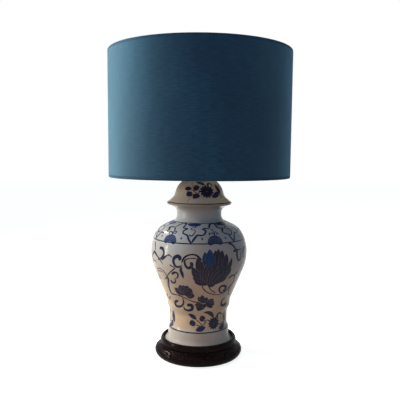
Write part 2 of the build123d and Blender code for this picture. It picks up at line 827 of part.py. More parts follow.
def rolled_hem(outer_radius, edge_height, inwards):
    """Fabric rolled round a wire hoop: round at the shade's edge, square where it meets the wall."""
    round_radius = hem_width / 2
    centre = (outer_radius - round_radius, edge_height + inwards * round_radius)
    wall_height = edge_height + inwards * hem_height
    with BuildPart() as hem:
        with BuildSketch(Plane.XZ):
            with BuildLine():
                roll = ThreePointArc(
                    (outer_radius, centre[1]),
                    (centre[0], edge_height),
                    (outer_radius - hem_width, centre[1]),
                )
                inner = Line(roll @ 1, (outer_radius - hem_width, wall_height))
                butt = Line(inner @ 1, (outer_radius, wall_height))
                Line(butt @ 1, roll @ 0)
            make_face()
            with Locations(centre):
                Circle(wire_radius, mode=Mode.SUBTRACT)
        revolve(axis=Axis.Z)
    return hem, centre


finish(shade_wall(0, fabric_thickness), "shade_fabric")
finish(shade_wall(fabric_thickness, liner_thickness), "shade_liner")

top_hem, top_wire_place = rolled_hem(shade_top_radius, shade_top_height, -1)
finish(top_hem, "shade_top_hem")
finish(wire_hoop(*top_wire_place), "shade_top_wire")

bottom_hem, bottom_wire_place = rolled_hem(shade_bottom_radius, shade_bottom_height, 1)
bottom_wire = wire_hoop(*bottom_wire_place)
finish(bottom_wire, "shade_bottom_wire")

# the spider's arms run from the bottom hoop up to the fitter ring, through holes in the hem
arm_outer_end = Vector(bottom_wire_place[0], 0, bottom_wire_place[1])
arm_inner_end = Vector(fitter_radius - arm_end_inset, 0, fitter_start + fitter_thickness / 2)
arm_line = arm_outer_end - arm_inner_end
arm_angles = [90 + n * 360 / arm_count for n in range(arm_count)]


def spider_arm(radius):
    """A straight wire of this radius from the fitter ring to the bottom hoop's middle."""
    with BuildPart() as straight_arm:
        with BuildSketch(Plane(arm_inner_end, z_dir=arm_line)):
            Circle(radius)
        extrude(amount=arm_line.length)
    return straight_arm.part


with BuildPart() as shade_bottom_hem:
    add(bottom_hem.part)
    for angle in arm_angles:
        add(spider_arm(arm_radius + arm_clearance).rotate(Axis.Z, angle), mode=Mode.SUBTRACT)
finish(shade_bottom_hem, "shade_bottom_hem")

with BuildPart() as shade_spider:
    with BuildSketch(Plane.XY.offset(fitter_start)):
        Circle(fitter_radius)
        Circle(fitter_bore_radius, mode=Mode.SUBTRACT)
    extrude(amount=fitter_thickness)
    for angle in arm_angles:
        add(spider_arm(arm_radius).rotate(Axis.Z, angle))
    add(bottom_wire.part, mode=Mode.SUBTRACT)
finish(shade_spider, "shade_spider")
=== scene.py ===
"""A ginger jar table lamp: blue and white porcelain jar, carved stand and teal drum shade.

Lengths in this file are in millimetres, measured from the table, and are turned into metres where
a mesh is made. The front of the lamp faces -Y. An azimuth of 0 is the front and 90 the right side.
"""

import random
from bisect import bisect_right
from math import atan2, ceil, cos, degrees, exp, hypot, pi, radians, sin, sqrt

import bpy
from bpy.props import FloatProperty, FloatVectorProperty, IntProperty, PointerProperty
from mathutils import Matrix, Vector


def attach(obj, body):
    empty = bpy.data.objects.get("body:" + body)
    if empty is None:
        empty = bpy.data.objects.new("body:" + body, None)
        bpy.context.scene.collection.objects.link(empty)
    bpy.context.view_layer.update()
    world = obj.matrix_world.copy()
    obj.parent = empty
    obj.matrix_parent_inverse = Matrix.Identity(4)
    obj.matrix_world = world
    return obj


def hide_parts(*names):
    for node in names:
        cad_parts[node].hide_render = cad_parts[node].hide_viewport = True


bl_info = {
    "name": "Ginger Jar Lamp",
    "version": (1, 0, 0),
    "blender": (4, 5, 0),
    "location": "View3D > Sidebar > Jar Lamp",
    "description": "Builds a painted porcelain jar lamp with a carved stand and a drum shade",
    "category": "Object",
}

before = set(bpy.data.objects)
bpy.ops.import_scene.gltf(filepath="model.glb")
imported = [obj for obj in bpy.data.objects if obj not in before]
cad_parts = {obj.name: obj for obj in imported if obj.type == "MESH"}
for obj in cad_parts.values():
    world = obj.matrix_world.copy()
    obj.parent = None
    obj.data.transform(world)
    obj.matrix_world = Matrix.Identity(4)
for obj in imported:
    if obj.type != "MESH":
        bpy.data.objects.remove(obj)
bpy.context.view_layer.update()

MM = 0.001
WHITE = (1.0, 1.0, 1.0, 1.0)

# The photograph's camera: its lens in mm, its place in m, how far it looks down and its roll, in degrees
LENS, CAMERA, LOOKS_DOWN, ROLL = 49.26, (0.0016, -1.1785, 0.4361), 4.68, 0.42
# Light that the room and the floor give to the lamp, and the floor's own white as the eye sees it
ROOM_LIGHT, FLOOR_WARMTH, FLOOR_WHITE = 0.27, 0.04, 0.84


# ---------------------------------------------------------------- outlines and walls
def outline(start, heading, moves, step=2.0):
    """Points of a path that starts at start: a move is (length,) or (radius, degrees turned left)."""
    x, y = start
    points = [(x, y)]
    for move in moves:
        if len(move) == 1:
            count = max(1, ceil(move[0] / (2 * step)))
            for i in range(1, count + 1):
                along = move[0] * i / count
                points.append((x + along * cos(radians(heading)), y + along * sin(radians(heading))))
        else:
            radius, sweep = move
            side = 1 if sweep > 0 else -1
            middle = (x - side * radius * sin(radians(heading)), y + side * radius * cos(radians(heading)))
            count = max(2, ceil(radius * abs(radians(sweep)) / step), ceil(abs(sweep) / 12))
            for i in range(1, count + 1):
                turned_to = radians(heading + sweep * i / count)
                points.append((middle[0] + side * radius * sin(turned_to),
                               middle[1] - side * radius * cos(turned_to)))
            heading += sweep
        x, y = points[-1]
    return points


def arc_through(a, b, c, count=10):
    """Points of the arc from a through b to c, without a itself."""
    ax, ay, bx, by, cx, cy = *a, *b, *c
    d = 2 * (ax * (by - cy) + bx * (cy - ay) + cx * (ay - by))
    x = ((ax**2 + ay**2) * (by - cy) + (bx**2 + by**2) * (cy - ay) + (cx**2 + cy**2) * (ay - by)) / d
    y = ((ax**2 + ay**2) * (cx - bx) + (bx**2 + by**2) * (ax - cx) + (cx**2 + cy**2) * (bx - ax)) / d
    first, last = atan2(ay - y, ax - x), atan2(cy - y, cx - x)
    turn = (last - first + pi) % (2 * pi) - pi
    radius = hypot(ax - x, ay - y)
    return [(x + radius * cos(first + turn * i / count), y + radius * sin(first + turn * i / count))
            for i in range(1, count + 1)]


def inset(points, depth):
    """The path moved to its left by depth."""
    moved = []
    for i, (x, y) in enumerate(points):
        before, after = points[max(0, i - 1)], points[min(len(points) - 1, i + 1)]
        run, rise = after[0] - before[0], after[1] - before[1]
        length = hypot(run, rise)
        moved.append((x - depth * rise / length, y + depth * run / length))
    return moved


def measured(points, origin=0):
    """A wall: its points (radius, height) with the distance along them from point number origin."""
    lengths = [0.0]
    for (r0, z0), (r1, z1) in zip(points, points[1:]):
        lengths.append(lengths[-1] + hypot(r1 - r0, z1 - z0))
    return [length - lengths[origin] for length in lengths], points


def wall_place(wall, v):
    """Radius, height, and the outward normal's parts at the distance v along a wall."""
    lengths, points = wall
    i = min(max(bisect_right(lengths, v), 1), len(points) - 1)
    (r0, z0), (r1, z1) = points[i - 1], points[i]
    span = lengths[i] - lengths[i - 1]
    t = min(max((v - lengths[i - 1]) / span, 0.0), 1.0)
    return r0 + (r1 - r0) * t, z0 + (z1 - z0) * t, (z1 - z0) / span, -(r1 - r0) / span


def wall_radius(wall, v):
    return wall_place(wall, v)[0]


def on_wall(wall, azimuth, v, lift=0.0):
    """The point of a wall at an azimuth and a distance v along it, lifted off it, in metres."""
    r, z, out, up = wall_place(wall, v)
    r, z = r + lift * out, z + lift * up
    a = radians(azimuth)
    return Vector((r * sin(a), -r * cos(a), z)) * MM


# The jar's outer wall, from its foot up over the body to the mouth
BELLY = (103.5, 230.0)
FOOT_TURN = [(66.0, 51.86), (65.3, 65.5)]
BODY = outline(BELLY, -90, [(100, -22.5), (63.87,), (40, 22.5), (10, -24), (7.80,), (25, 24), (18.55,),
                            (20, 30)])[::-1]
BODY += outline(BELLY, 90, [(80.3, 31.6), (39.3, 33.6), (20.354,), (14, -65.2), (4.6,)])[1:]
MOUTH = outline(BODY[-1], 90, [(16, -70), (10.624,), (1.2, 160)], 0.8)
JAR_WALL = measured(FOOT_TURN + BODY, 2)
FOOT_LINE, COLLAR_LINE, NECK_LINE = -1.0, 200.5, 257.6  # painted lines, along the jar's wall

# The lid's outer wall, from its rim in and up to the flat on top
LID_WALL = measured(outline((70.0, 335.54), 140.4, [(14.44,), (20, -39.2), (39.9, 78.8)]))

# The shade: heights of its edges, its radius at the lower one, how much wider the upper one is, the
# height of a hem and the radius of the roll at its edge
SHADE_LOW, SHADE_HIGH, SHADE_RADIUS, SHADE_TAPER, HEM, ROLLED = 389.0, 652.5, 192.8, 1.2, 6.0, 2.45


def shade_radius(z):
    """The outer radius of the shade's cone at a height."""
    return SHADE_RADIUS + SHADE_TAPER * (z - SHADE_LOW) / (SHADE_HIGH - SHADE_LOW)


# ---------------------------------------------------------------- modelling
def start_piece(name, add, **settings):
    """Adds a primitive with nothing else selected, names it and opens it for editing."""
    bpy.ops.object.select_all(action="DESELECT")
    add(**settings)
    piece = bpy.context.object
    piece.name = piece.data.name = name
    return piece


def turned(name, points, segments=192, smooth=35, closed=True):
    """Turns an outline of (radius, height) points about the lamp's axis, as on a wheel or a lathe."""
    piece = start_piece(name, bpy.ops.mesh.primitive_plane_add, size=MM)
    bpy.ops.object.mode_set(mode="EDIT")
    bpy.ops.mesh.select_all(action="SELECT")
    bpy.ops.mesh.merge(type="CENTER")
    bpy.ops.transform.translate(value=(points[0][0] * MM, 0, points[0][1] * MM))
    for (r0, z0), (r1, z1) in zip(points, points[1:] + points[:closed]):
        step = ((r1 - r0) * MM, 0, (z1 - z0) * MM)
        bpy.ops.mesh.extrude_vertices_move(TRANSFORM_OT_translate={"value": step})
    bpy.ops.mesh.select_all(action="SELECT")
    bpy.ops.mesh.spin(steps=segments, angle=2 * pi, center=(0, 0, 0), axis=(0, 0, 1))
    bpy.ops.mesh.select_all(action="SELECT")
    bpy.ops.mesh.remove_doubles(threshold=2e-6)
    bpy.ops.mesh.normals_make_consistent(inside=False)
    bpy.ops.object.mode_set(mode="OBJECT")
    bpy.ops.object.shade_smooth_by_angle(angle=radians(smooth))
    return piece


def reshape(piece, move):
    """Moves each point of a turned piece: move takes and gives azimuth, radius and height."""
    for vertex in piece.data.vertices:
        x, y, z = vertex.co / MM
        radius = hypot(x, y)
        if radius > 0.01:
            azimuth, radius, z = move(degrees(atan2(x, -y)), radius, z)
            a = radians(azimuth)
            vertex.co = Vector((radius * sin(a), -radius * cos(a), z)) * MM
    piece.data.update()


def join(pieces, name):
    """Joins pieces into the first one."""
    bpy.ops.object.select_all(action="DESELECT")
    for piece in pieces:
        piece.select_set(True)
    bpy.context.view_layer.objects.active = pieces[0]
    if len(pieces) > 1:
        bpy.ops.object.join()
    pieces[0].name = pieces[0].data.name = name
    return pieces[0]


def turned_copy(piece, name, azimuth):
    """A copy of a piece with its own mesh, turned about the lamp's axis."""
    bpy.ops.object.select_all(action="DESELECT")
    piece.select_set(True)
    bpy.context.view_layer.objects.active = piece
    bpy.ops.object.duplicate(linked=False)
    copy = bpy.context.object
    copy.name = copy.data.name = name
    copy.rotation_euler.z = radians(azimuth)
    bpy.ops.object.transform_apply(location=False, rotation=True, scale=False)
    return copy


def fit(piece, body, slot, material, *nodes):
    """Makes a finished piece ride on its body, with its finish, in the place of its CAD nodes."""
    piece.data.materials.clear()
    piece.data.materials.append(material)
    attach(piece, body)
    if nodes:
        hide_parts(*nodes)
    return piece


# ---------------------------------------------------------------- brush strokes
PILE = 0.3  # mm from a painting's first stroke up to its last
BODY_OF_COLOUR = 0.25  # mm of thickness that a stroke has, from its face inwards


def spline(points, step):
    """A smooth line through points of (azimuth, v), with a row about every step."""
    if len(points) == 2:
        (a0, v0), (a1, v1) = points
        points = [(a0, v0), ((a0 + a1) / 2, (v0 + v1) / 2), (a1, v1)]
    ends = [tuple(2 * a - b for a, b in zip(points[0], points[1]))] + list(points)
    ends.append(tuple(2 * a - b for a, b in zip(points[-1], points[-2])))
    line = [points[0]]
    for p0, p1, p2, p3 in zip(ends, ends[1:], ends[2:], ends[3:]):
        count = max(3, ceil(hypot((p2[0] - p1[0]) * 1.5, p2[1] - p1[1]) / step))
        for i in range(1, count + 1):
            t = i / count
            line.append(tuple(
                0.5 * (2 * b + (c - a) * t + (2 * a - 5 * b + 4 * c - d) * t**2
                       + (3 * b - a - 3 * c + d) * t**3)
                for a, b, c, d in zip(p0, p1, p2, p3)))
    return line


def swell(kind, t):
    """The share of its full width that a brush stroke has at t, from 0 at its start to 1 at its end."""
    start, end = min(1.0, 10 * t), min(1.0, 10 * (1 - t))
    if kind == "round":
        return 1.0
    if kind == "line":
        return sqrt(start * end) * (0.86 + 0.14 * sin(9 * t))
    if kind == "taper":
        return sqrt(start) * (1 - t) ** 0.6
    if kind == "hook":
        return sqrt(start * end) * (0.28 + 0.72 * (1 - t) ** 0.7)
    if kind == "leaf":
        return sin(pi * t) ** 0.75
    if kind == "dot":
        return sqrt(max(0.0, 1 - (2 * t - 1) ** 2))
    # a petal is broadest past its middle and comes to a point
    return sqrt(start) * (0.36 * (1 - t) + 0.92 * sin(pi * t**1.25) ** 0.85)


def stroke(wall, kind, width, points, lift, tone, step=1.8):
    """One touch of the brush on a wall: a thin ribbon whose UV runs along and across it. Its attributes
    are the brush's load, called tone, and how far a broad stroke is a wash, from 4 mm of width up to 9."""
    line = spline(points, step)
    rows = len(line) - 1
    ribbon = start_piece("stroke", bpy.ops.mesh.primitive_grid_add, x_subdivisions=rows, y_subdivisions=4,
                         size=1)
    travelled = [0.0]
    for (a0, v0), (a1, v1) in zip(line, line[1:]):
        travelled.append(travelled[-1] + hypot(radians(a1 - a0) * wall_radius(wall, v0), v1 - v0))
    for vertex in ribbon.data.vertices:
        i = round((vertex.co.x + 0.5) * rows)
        (a0, v0), (a1, v1) = line[max(0, i - 1)], line[min(rows, i + 1)]
        azimuth, v = line[i]
        r = wall_radius(wall, v)
        along, up = radians(a1 - a0) * r, v1 - v0
        length = hypot(along, up) or 1.0
        half = max(0.02, width / 2 * swell(kind, travelled[i] / travelled[-1])) * vertex.co.y * 2
        vertex.co = on_wall(wall, azimuth - degrees(half * up / length / r), v + half * along / length, lift)
    for name, share in (("tone", tone), ("wash", min(1.0, max(0.0, (width - 4) / 5)))):
        for value in ribbon.data.attributes.new(name, "FLOAT", "POINT").data:
            value.value = share
    return ribbon


def painting(name, wall, strokes, lift=0.12, seed=1):
    """Paints strokes of (kind, width, points) on a wall, each a little higher than the one before."""
    chance = random.Random(seed)
    weight = bpy.context.scene.jar_lamp.brush
    ribbons = []
    for i, (kind, width, points) in enumerate(strokes):
        width *= 1 if kind == "round" else weight
        ribbons.append(stroke(wall, kind, width, points, lift + PILE * i / len(strokes), chance.random()))
    painted = join(ribbons, name)
    solid = painted.modifiers.new("body of the colour", "SOLIDIFY")
    solid.thickness, solid.offset = BODY_OF_COLOUR * MM, -1
    bpy.ops.object.modifier_apply(modifier=solid.name)
    bpy.ops.object.shade_smooth_by_angle(angle=radians(40))
    return painted


def rosette(wall, azimuth, v, inner, outer, width, count, first=0.0, sweep=360.0):
    """Petals fanned round a point of a wall. first and sweep are angles on the wall, 90 is up."""
    petals = []
    for i in range(count):
        turn = radians(first + sweep * (i + 0.5) / count)
        ends = []
        for reach in (inner, outer):
            up = v + reach * sin(turn)
            ends.append((azimuth + degrees(reach * cos(turn) / wall_radius(wall, up)), up))
        petals.append(("petal", width, ends))
    return petals


def flower_head(wall, azimuth, v, radius):
    """A chrysanthemum: rings of thin petals round a dark eye, each ring over the last."""
    petals = rosette(wall, azimuth, v, radius * 0.3, radius * 1.08, radius * 0.235, 13)
    petals += rosette(wall, azimuth, v, radius * 0.12, radius * 0.66, radius * 0.22, 9, 10)
    return petals + [("dot", radius * 0.2, [(azimuth - 1.5, v), (azimuth + 1.5, v)])]


def bud(wall, azimuth, v, radius, lean=90.0):
    """A round bud with a crown of small petals that lean one way."""
    half = degrees(radius * 0.92 / wall_radius(wall, v))
    petals = [("dot", radius * 1.22, [(azimuth - half, v), (azimuth + half, v)])]
    return petals + rosette(wall, azimuth, v, radius * 0.5, radius * 1.25, radius * 0.34, 5, lean - 60, 120)


# ---------------------------------------------------------------- material nodes
COLOURS = {"data_type": "RGBA", "output": 2}  # a Mix node's settings when it mixes colours
SMOOTH = {"interpolation_type": "SMOOTHSTEP"}


def srgb(text):
    """A colour written as six hex digits, made linear."""
    parts = (int(text[i : i + 2], 16) / 255 for i in (0, 2, 4))
    return tuple(c / 12.92 if c <= 0.04045 else ((c + 0.055) / 1.055) ** 2.4 for c in parts) + (1.0,)


def opaque(colour):
    """A colour setting as a node takes it, with its alpha."""
    return tuple(colour) + (1.0,)


def put(tree, kind, inputs=None, output=0, **settings):
    """Adds a node with its settings, sets or links its inputs by name or number, and gives an output."""
    node = tree.nodes.new("ShaderNode" + kind)
    for name, value in settings.items():
        setattr(node, name, value)
    for name, value in (inputs or {}).items():
        if isinstance(value, bpy.types.NodeSocket):
            tree.links.new(value, node.inputs[name])
        else:
            node.inputs[name].default_value = value
    return node.outputs[output]


def patches(tree, place, size, detail=2.0, rough=0.5, stretch=(1.0, 1.0, 1.0)):
    """Soft noise whose patches are about size mm across, and longer where stretch is below 1."""
    place = put(tree, "Mapping", {"Vector": place, "Scale": stretch})
    inputs = {"Vector": place, "Scale": 1000 / size, "Detail": detail, "Roughness": rough}
    return put(tree, "TexNoise", inputs, "Fac")


def patchy(tree, place, size, detail, low, high, start=0.0, end=1.0, **more):
    """A number that drifts from start to end in patches, where their noise goes from low to high."""
    noise = patches(tree, place, size, detail, **more)
    return put(tree, "MapRange", {0: noise, 1: low, 2: high, 3: start, 4: end}, **SMOOTH)


def clouded(tree, place, size, detail, low, high, first, second, most=1.0, **more):
    """The first colour turned into the second in patches, by a share of at most most."""
    share = patchy(tree, place, size, detail, low, high, 0.0, most, **more)
    return put(tree, "Mix", {0: share, 6: first, 7: second}, **COLOURS)


def pebbled(tree, place, size, detail, depth, **onto):
    """Relief of soft bumps about size mm across and depth mm deep; Normal= lays it over another one."""
    height = patches(tree, place, size, detail)
    return put(tree, "Bump", {"Height": height, "Distance": depth * MM, "Strength": 1.0, **onto})


def by_height(tree, place, low, high, start=0.0, end=1.0):
    """A number that goes smoothly from start to end between two heights in mm."""
    height = put(tree, "SeparateXYZ", {0: place}, 2)
    return put(tree, "MapRange", {0: height, 1: low * MM, 2: high * MM, 3: start, 4: end}, **SMOOTH)


def begin(name):
    """A new node material: its tree, its shader, and the object's own coordinates."""
    material = bpy.data.materials.new(name)
    material.use_nodes = True
    tree = material.node_tree
    return material, tree, tree.nodes["Principled BSDF"], put(tree, "TexCoord", output="Object")


def finish_with(tree, shader, **inputs):
    """Sets or links the shader's inputs; an underscore in a name stands for a space."""
    for name, value in inputs.items():
        socket = shader.inputs[name.replace("_", " ")]
        if isinstance(value, bpy.types.NodeSocket):
            tree.links.new(value, socket)
        else:
            socket.default_value = value


# ---------------------------------------------------------------- the lamp's finishes
def glaze_colour(tree, place):
    """A warm cream that turns blue-grey on the foot and from the belly up to the neck, where the blue-grey is
    painted cool light from above, and clouds in broad patches, with a few iron specks burnt into it."""
    look = bpy.context.scene.jar_lamp
    glaze, painted_cool_grey, glaze_shade = map(opaque, (look.glaze, look.glaze_painted_cool, look.glaze_shade))
    # painted cool light: blue-grey from 120 mm up to the mouth, fading on the lid; the foot below 80 mm gets
    # the blue-grey too
    above, below_mouth = by_height(tree, place, 120, 270), by_height(tree, place, 333, 335, 1.0, 0.3)
    neck = put(tree, "Math", {0: above, 1: below_mouth}, operation="MULTIPLY")
    thin = put(tree, "Math", {0: neck, 1: by_height(tree, place, 66, 80, 0.55, 0.0)}, operation="MAXIMUM")
    cream = put(tree, "Mix", {0: thin, 6: glaze, 7: painted_cool_grey}, **COLOURS)
    cream = clouded(tree, place, 70, 3, 0.35, 0.65, cream, glaze_shade, 0.5)
    cream = clouded(tree, place, 9, 2, 0.3, 0.7, cream, srgb("80796f"), 0.08)
    # cells of 10.5 mm, and a speck in those where the glaze is also patchy
    specks = put(tree, "TexVoronoi", {"Vector": place, "Scale": 95.0, "Randomness": 1.0}, "Distance")
    specks = put(tree, "MapRange", {0: specks, 1: 0.03, 2: 0.085, 3: 0.75, 4: 0.0}, **SMOOTH)
    burnt = put(tree, "Math", {0: specks, 1: patchy(tree, place, 14, 1, 0.52, 0.60)}, operation="MULTIPLY")
    return put(tree, "Mix", {0: burnt, 6: cream, 7: srgb("5a4433")}, **COLOURS)


def glassy(tree, shader, place, colour):
    """The clear glassy skin of fired glaze: it flows in slow waves and has a fine orange peel."""
    slow = pebbled(tree, place, 26, 1, 0.05)
    skin = pebbled(tree, place, 1.6, 1, 0.004, Normal=slow)
    rough = patchy(tree, place, 18, 2, 0.3, 0.7, 0.16, 0.27)
    finish_with(tree, shader, Base_Color=colour, Roughness=rough, Normal=skin, Coat_Weight=0.1,
                Coat_Roughness=0.05, Coat_Normal=slow, Specular_IOR_Level=0.07)


def glazed_porcelain():
    """Old porcelain: cream glaze, rubbed brown on the jar's mouth, bare biscuit under the foot."""
    material, tree, shader, place = begin("glazed_porcelain")
    height = put(tree, "SeparateXYZ", {0: place}, 2)
    uneven = patchy(tree, place, 6, 2, 0.3, 0.7, -1.2 * MM, 1.2 * MM)
    edge = put(tree, "Math", {0: height, 1: uneven}, operation="ADD")
    biscuit = put(tree, "MapRange", {0: edge, 1: 36.5 * MM, 2: 38.5 * MM, 3: 1.0, 4: 0.0}, **SMOOTH)
    colour = put(tree, "Mix", {0: biscuit, 6: glaze_colour(tree, place), 7: srgb("83705b")}, **COLOURS)
    worn = put(tree, "Math", {0: by_height(tree, place, 331.8, 332.8, 0.0, 0.7),
                              1: by_height(tree, place, 334.1, 334.3, 1.0, 0.0)}, operation="MULTIPLY")
    colour = put(tree, "Mix", {0: worn, 6: colour, 7: srgb("7a6857")}, **COLOURS)
    glassy(tree, shader, place, colour)
    return material


def underglaze_cobalt(name, wash, line, dark, reserve="5f5b6e"):
    """Brushed cobalt under the glaze. Thin strokes are solid. Wide ones have a streaky wash, a pooled dark
    outline and a light reserved edge. All of them bleed out softly into the glaze."""
    material, tree, shader, place = begin(name)
    along, side = put(tree, "SeparateXYZ", {0: put(tree, "UVMap")}).node.outputs[:2]
    across = put(tree, "Math", {0: side, 1: 2.0, 2: -1.0}, operation="MULTIPLY_ADD")
    across = put(tree, "Math", {0: across}, operation="ABSOLUTE")
    tone = put(tree, "Attribute", output="Fac", attribute_name="tone")
    wide = put(tree, "Attribute", output="Fac", attribute_name="wash")
    grain = [put(tree, "Math", {0: value, 1: times}, operation="MULTIPLY")
             for value, times in ((along, 1.5), (side, 8.0), (tone, 40.0))]
    grain = put(tree, "CombineXYZ", dict(enumerate(grain)))
    hairs = put(tree, "TexNoise", {"Vector": grain, "Scale": 1.0, "Detail": 2.0}, "Fac")
    hairs = put(tree, "MapRange", {0: hairs, 1: 0.42, 2: 0.72}, **SMOOTH)
    loaded = put(tree, "Math", {0: tone, 1: 0.35, 2: -0.12}, operation="MULTIPLY_ADD")
    streaks = put(tree, "Math", {0: hairs, 1: loaded}, operation="ADD")
    pooled = patchy(tree, place, 7, 3, 0.25, 0.6, 0.6, 1.0)
    # the wash, its middle vein, the pooled outline and the reserved edge: how strong each is, and from
    # where to where across the stroke it comes or goes
    colour = srgb(dark)
    for share, low, high, start, end, tint in (
        (streaks, None, None, None, None, wash),
        (wide, 0.0, 0.09, 0.55, 0.0, wash),
        (pooled, 0.55, 0.75, 0.0, 1.0, line),
        (wide, 0.84, 0.95, 0.0, 0.8, reserve),
    ):
        reach = wide
        if low is not None:
            reach = put(tree, "MapRange", {0: across, 1: low, 2: high, 3: start, 4: end}, **SMOOTH)
        share = put(tree, "Math", {0: reach, 1: share}, operation="MULTIPLY")
        colour = put(tree, "Mix", {0: share, 6: colour, 7: srgb(tint)}, **COLOURS)
    ragged = patchy(tree, place, 2.6, 2, 0.3, 0.7, -0.04, 0.04)
    ragged = put(tree, "Math", {0: across, 1: ragged}, operation="ADD")
    soft = put(tree, "MapRange", {0: ragged, 1: 0.93, 2: 1.06, 3: 0.0, 4: 0.8}, **SMOOTH)
    thin = put(tree, "Math", {0: wide, 1: -0.75, 2: 1.0}, operation="MULTIPLY_ADD")
    bleed = put(tree, "Math", {0: soft, 1: thin}, operation="MULTIPLY")
    colour = put(tree, "Mix", {0: bleed, 6: colour, 7: glaze_colour(tree, place)}, **COLOURS)
    glassy(tree, shader, place, colour)
    return material


def lacquered_wood():
    """Black-brown rosewood under worn gloss lacquer: long grain, redder where hands rub the high edges."""
    material, tree, shader, place = begin("lacquered_wood")
    wood = opaque(bpy.context.scene.jar_lamp.wood)
    colour = clouded(tree, place, 3.2, 5, 0.35, 0.7, wood, srgb("170d0c"), rough=0.65,
                     stretch=(0.12, 1.6, 1.6))
    rubbed = put(tree, "Math", {0: by_height(tree, place, 40.5, 42.8, 0.0, 0.45),
                                1: patchy(tree, place, 12, 3, 0.4, 0.7)}, operation="MULTIPLY")
    colour = put(tree, "Mix", {0: rubbed, 6: colour, 7: srgb("3a2119")}, **COLOURS)
    pores = patchy(tree, place, 0.7, 2, 0.3, 0.5, stretch=(0.06, 1.0, 1.0))
    relief = put(tree, "Bump", {"Height": pores, "Distance": 0.03 * MM, "Strength": 1.0,
                                "Normal": pebbled(tree, place, 16, 2, 0.12)})
    rough = patchy(tree, place, 10, 3, 0.3, 0.75, 0.26, 0.44)
    finish_with(tree, shader, Base_Color=colour, Roughness=rough, Normal=relief, Coat_Weight=0.06,
                Coat_Roughness=0.1, Specular_IOR_Level=0.01)
    return material


def shade_cloth(name="shade_cloth", nap_share=1.0):
    """Teal cotton velvet: deep blue face on, pale where its nap catches the light, with patches where the nap
    lies the other way painted a lighter colour, a painted sheen.
    The threads are drawn at 0.9 mm, coarser than the real pile, so that they hold in a small picture."""
    look = bpy.context.scene.jar_lamp
    material, tree, shader, place = begin(name)
    # the cloth laid flat: metres round the shade and up it, parting at the seam at the back
    right, front, up = put(tree, "SeparateXYZ", {0: place}).node.outputs
    front = put(tree, "Math", {0: front, 1: -1.0}, operation="MULTIPLY")
    angle = put(tree, "Math", {0: right, 1: front}, operation="ARCTAN2")
    round_it = put(tree, "Math", {0: angle, 1: 193 * MM}, operation="MULTIPLY")
    flat = put(tree, "CombineXYZ", {0: round_it, 1: up})
    threads = []
    for side in (round_it, up):
        turn = put(tree, "Math", {0: side, 1: 2 * pi / (0.9 * MM)}, operation="MULTIPLY")
        threads.append(put(tree, "Math", {0: turn}, operation="SINE"))
    weave = put(tree, "Math", dict(enumerate(threads)), operation="MULTIPLY")
    weave = put(tree, "MapRange", {0: weave, 1: -1.0}, **SMOOTH)
    # painted sheen: patches where the nap lies the other way get the lighter cloth colour
    nap = patchy(tree, flat, 130, 3, 0.3, 0.75, 0.15, 0.8, stretch=(1.0, 0.45, 1.0))
    colour = put(tree, "Mix", {0: nap, 6: opaque(look.cloth), 7: opaque(look.cloth_painted_sheen)}, **COLOURS)
    colour = clouded(tree, flat, 2.5, 3, 0.35, 0.7, colour, srgb("0f1c2b"), 0.42, stretch=(0.15, 1.0, 1.0))
    dusty = put(tree, "Math", {0: weave, 1: 0.08}, operation="MULTIPLY")
    colour = put(tree, "Mix", {0: dusty, 6: colour, 7: srgb("46667c")}, **COLOURS)
    relief = put(tree, "Bump", {"Height": weave, "Distance": 0.10 * MM, "Strength": 1.0})
    finish_with(tree, shader, Base_Color=colour, Roughness=0.92, Specular_IOR_Level=0.15,
                Normal=pebbled(tree, flat, 1.4, 3, 0.12, Normal=relief), Sheen_Weight=look.nap * nap_share,
                Sheen_Roughness=0.45, Sheen_Tint=opaque(look.cloth_nap))
    return material


def shade_lining():
    """Off-white laminate: smooth card with a faint mottle and a soft plastic shine."""
    material, tree, shader, place = begin("liner")
    colour = clouded(tree, place, 40, 3, 0.35, 0.65, srgb("e3ddcf"), srgb("d4ccba"))
    finish_with(tree, shader, Base_Color=colour, Roughness=0.48, Normal=pebbled(tree, place, 1.2, 2, 0.02),
                Specular_IOR_Level=0.4)
    return material


def painted_wire():
    """White powder-coated steel: slightly pebbled, with dust settled in the skin."""
    material, tree, shader, place = begin("painted_wire")
    colour = clouded(tree, place, 9, 3, 0.45, 0.7, srgb("d9d5cb"), srgb("c3bdaf"))
    finish_with(tree, shader, Base_Color=colour, Roughness=0.42, Normal=pebbled(tree, place, 0.6, 1, 0.03))
    return material


def metal(name, bright, dull, rough):
    """Bare metal: turning marks round the axis, duller in patches where it has tarnished."""
    material, tree, shader, place = begin(name)
    marks = patches(tree, place, 1.5, 3, stretch=(1.0, 1.0, 8.0))
    roughness = put(tree, "MapRange", {0: marks, 1: 0.3, 2: 0.7, 3: rough, 4: rough + 0.16}, **SMOOTH)
    relief = put(tree, "Bump", {"Height": marks, "Distance": 0.015 * MM, "Strength": 1.0})
    colour = clouded(tree, place, 11, 4, 0.4, 0.72, srgb(bright), srgb(dull))
    finish_with(tree, shader, Base_Color=colour, Metallic=1.0, Roughness=roughness, Normal=relief)
    return material


def moulded(name, face, shade, rough, grain=0.8, depth=0.02, **more):
    """Moulded plastic or rubber: an even colour with a slight cloud and a fine moulded grain."""
    material, tree, shader, place = begin(name)
    colour = clouded(tree, place, 14, 3, 0.35, 0.7, srgb(face), srgb(shade))
    finish_with(tree, shader, Base_Color=colour, Normal=pebbled(tree, place, grain, 2, depth),
                Roughness=patchy(tree, place, 6, 2, 0.3, 0.7, rough, rough + 0.12), **more)
    return material


def diode_board():
    """The bulb's board: white mask with yellow phosphor chips standing on it."""
    material, tree, shader, place = begin("diode_board")
    mask = clouded(tree, place, 5, 2, 0.4, 0.7, srgb("dcdedb"), srgb("c9ccc8"))
    chips = by_height(tree, place, 492.20, 492.35)
    colour = put(tree, "Mix", {0: chips, 6: mask, 7: srgb("d8c455")}, **COLOURS)
    finish_with(tree, shader, Base_Color=colour, Roughness=0.4, Normal=pebbled(tree, place, 0.5, 1, 0.01))
    return material


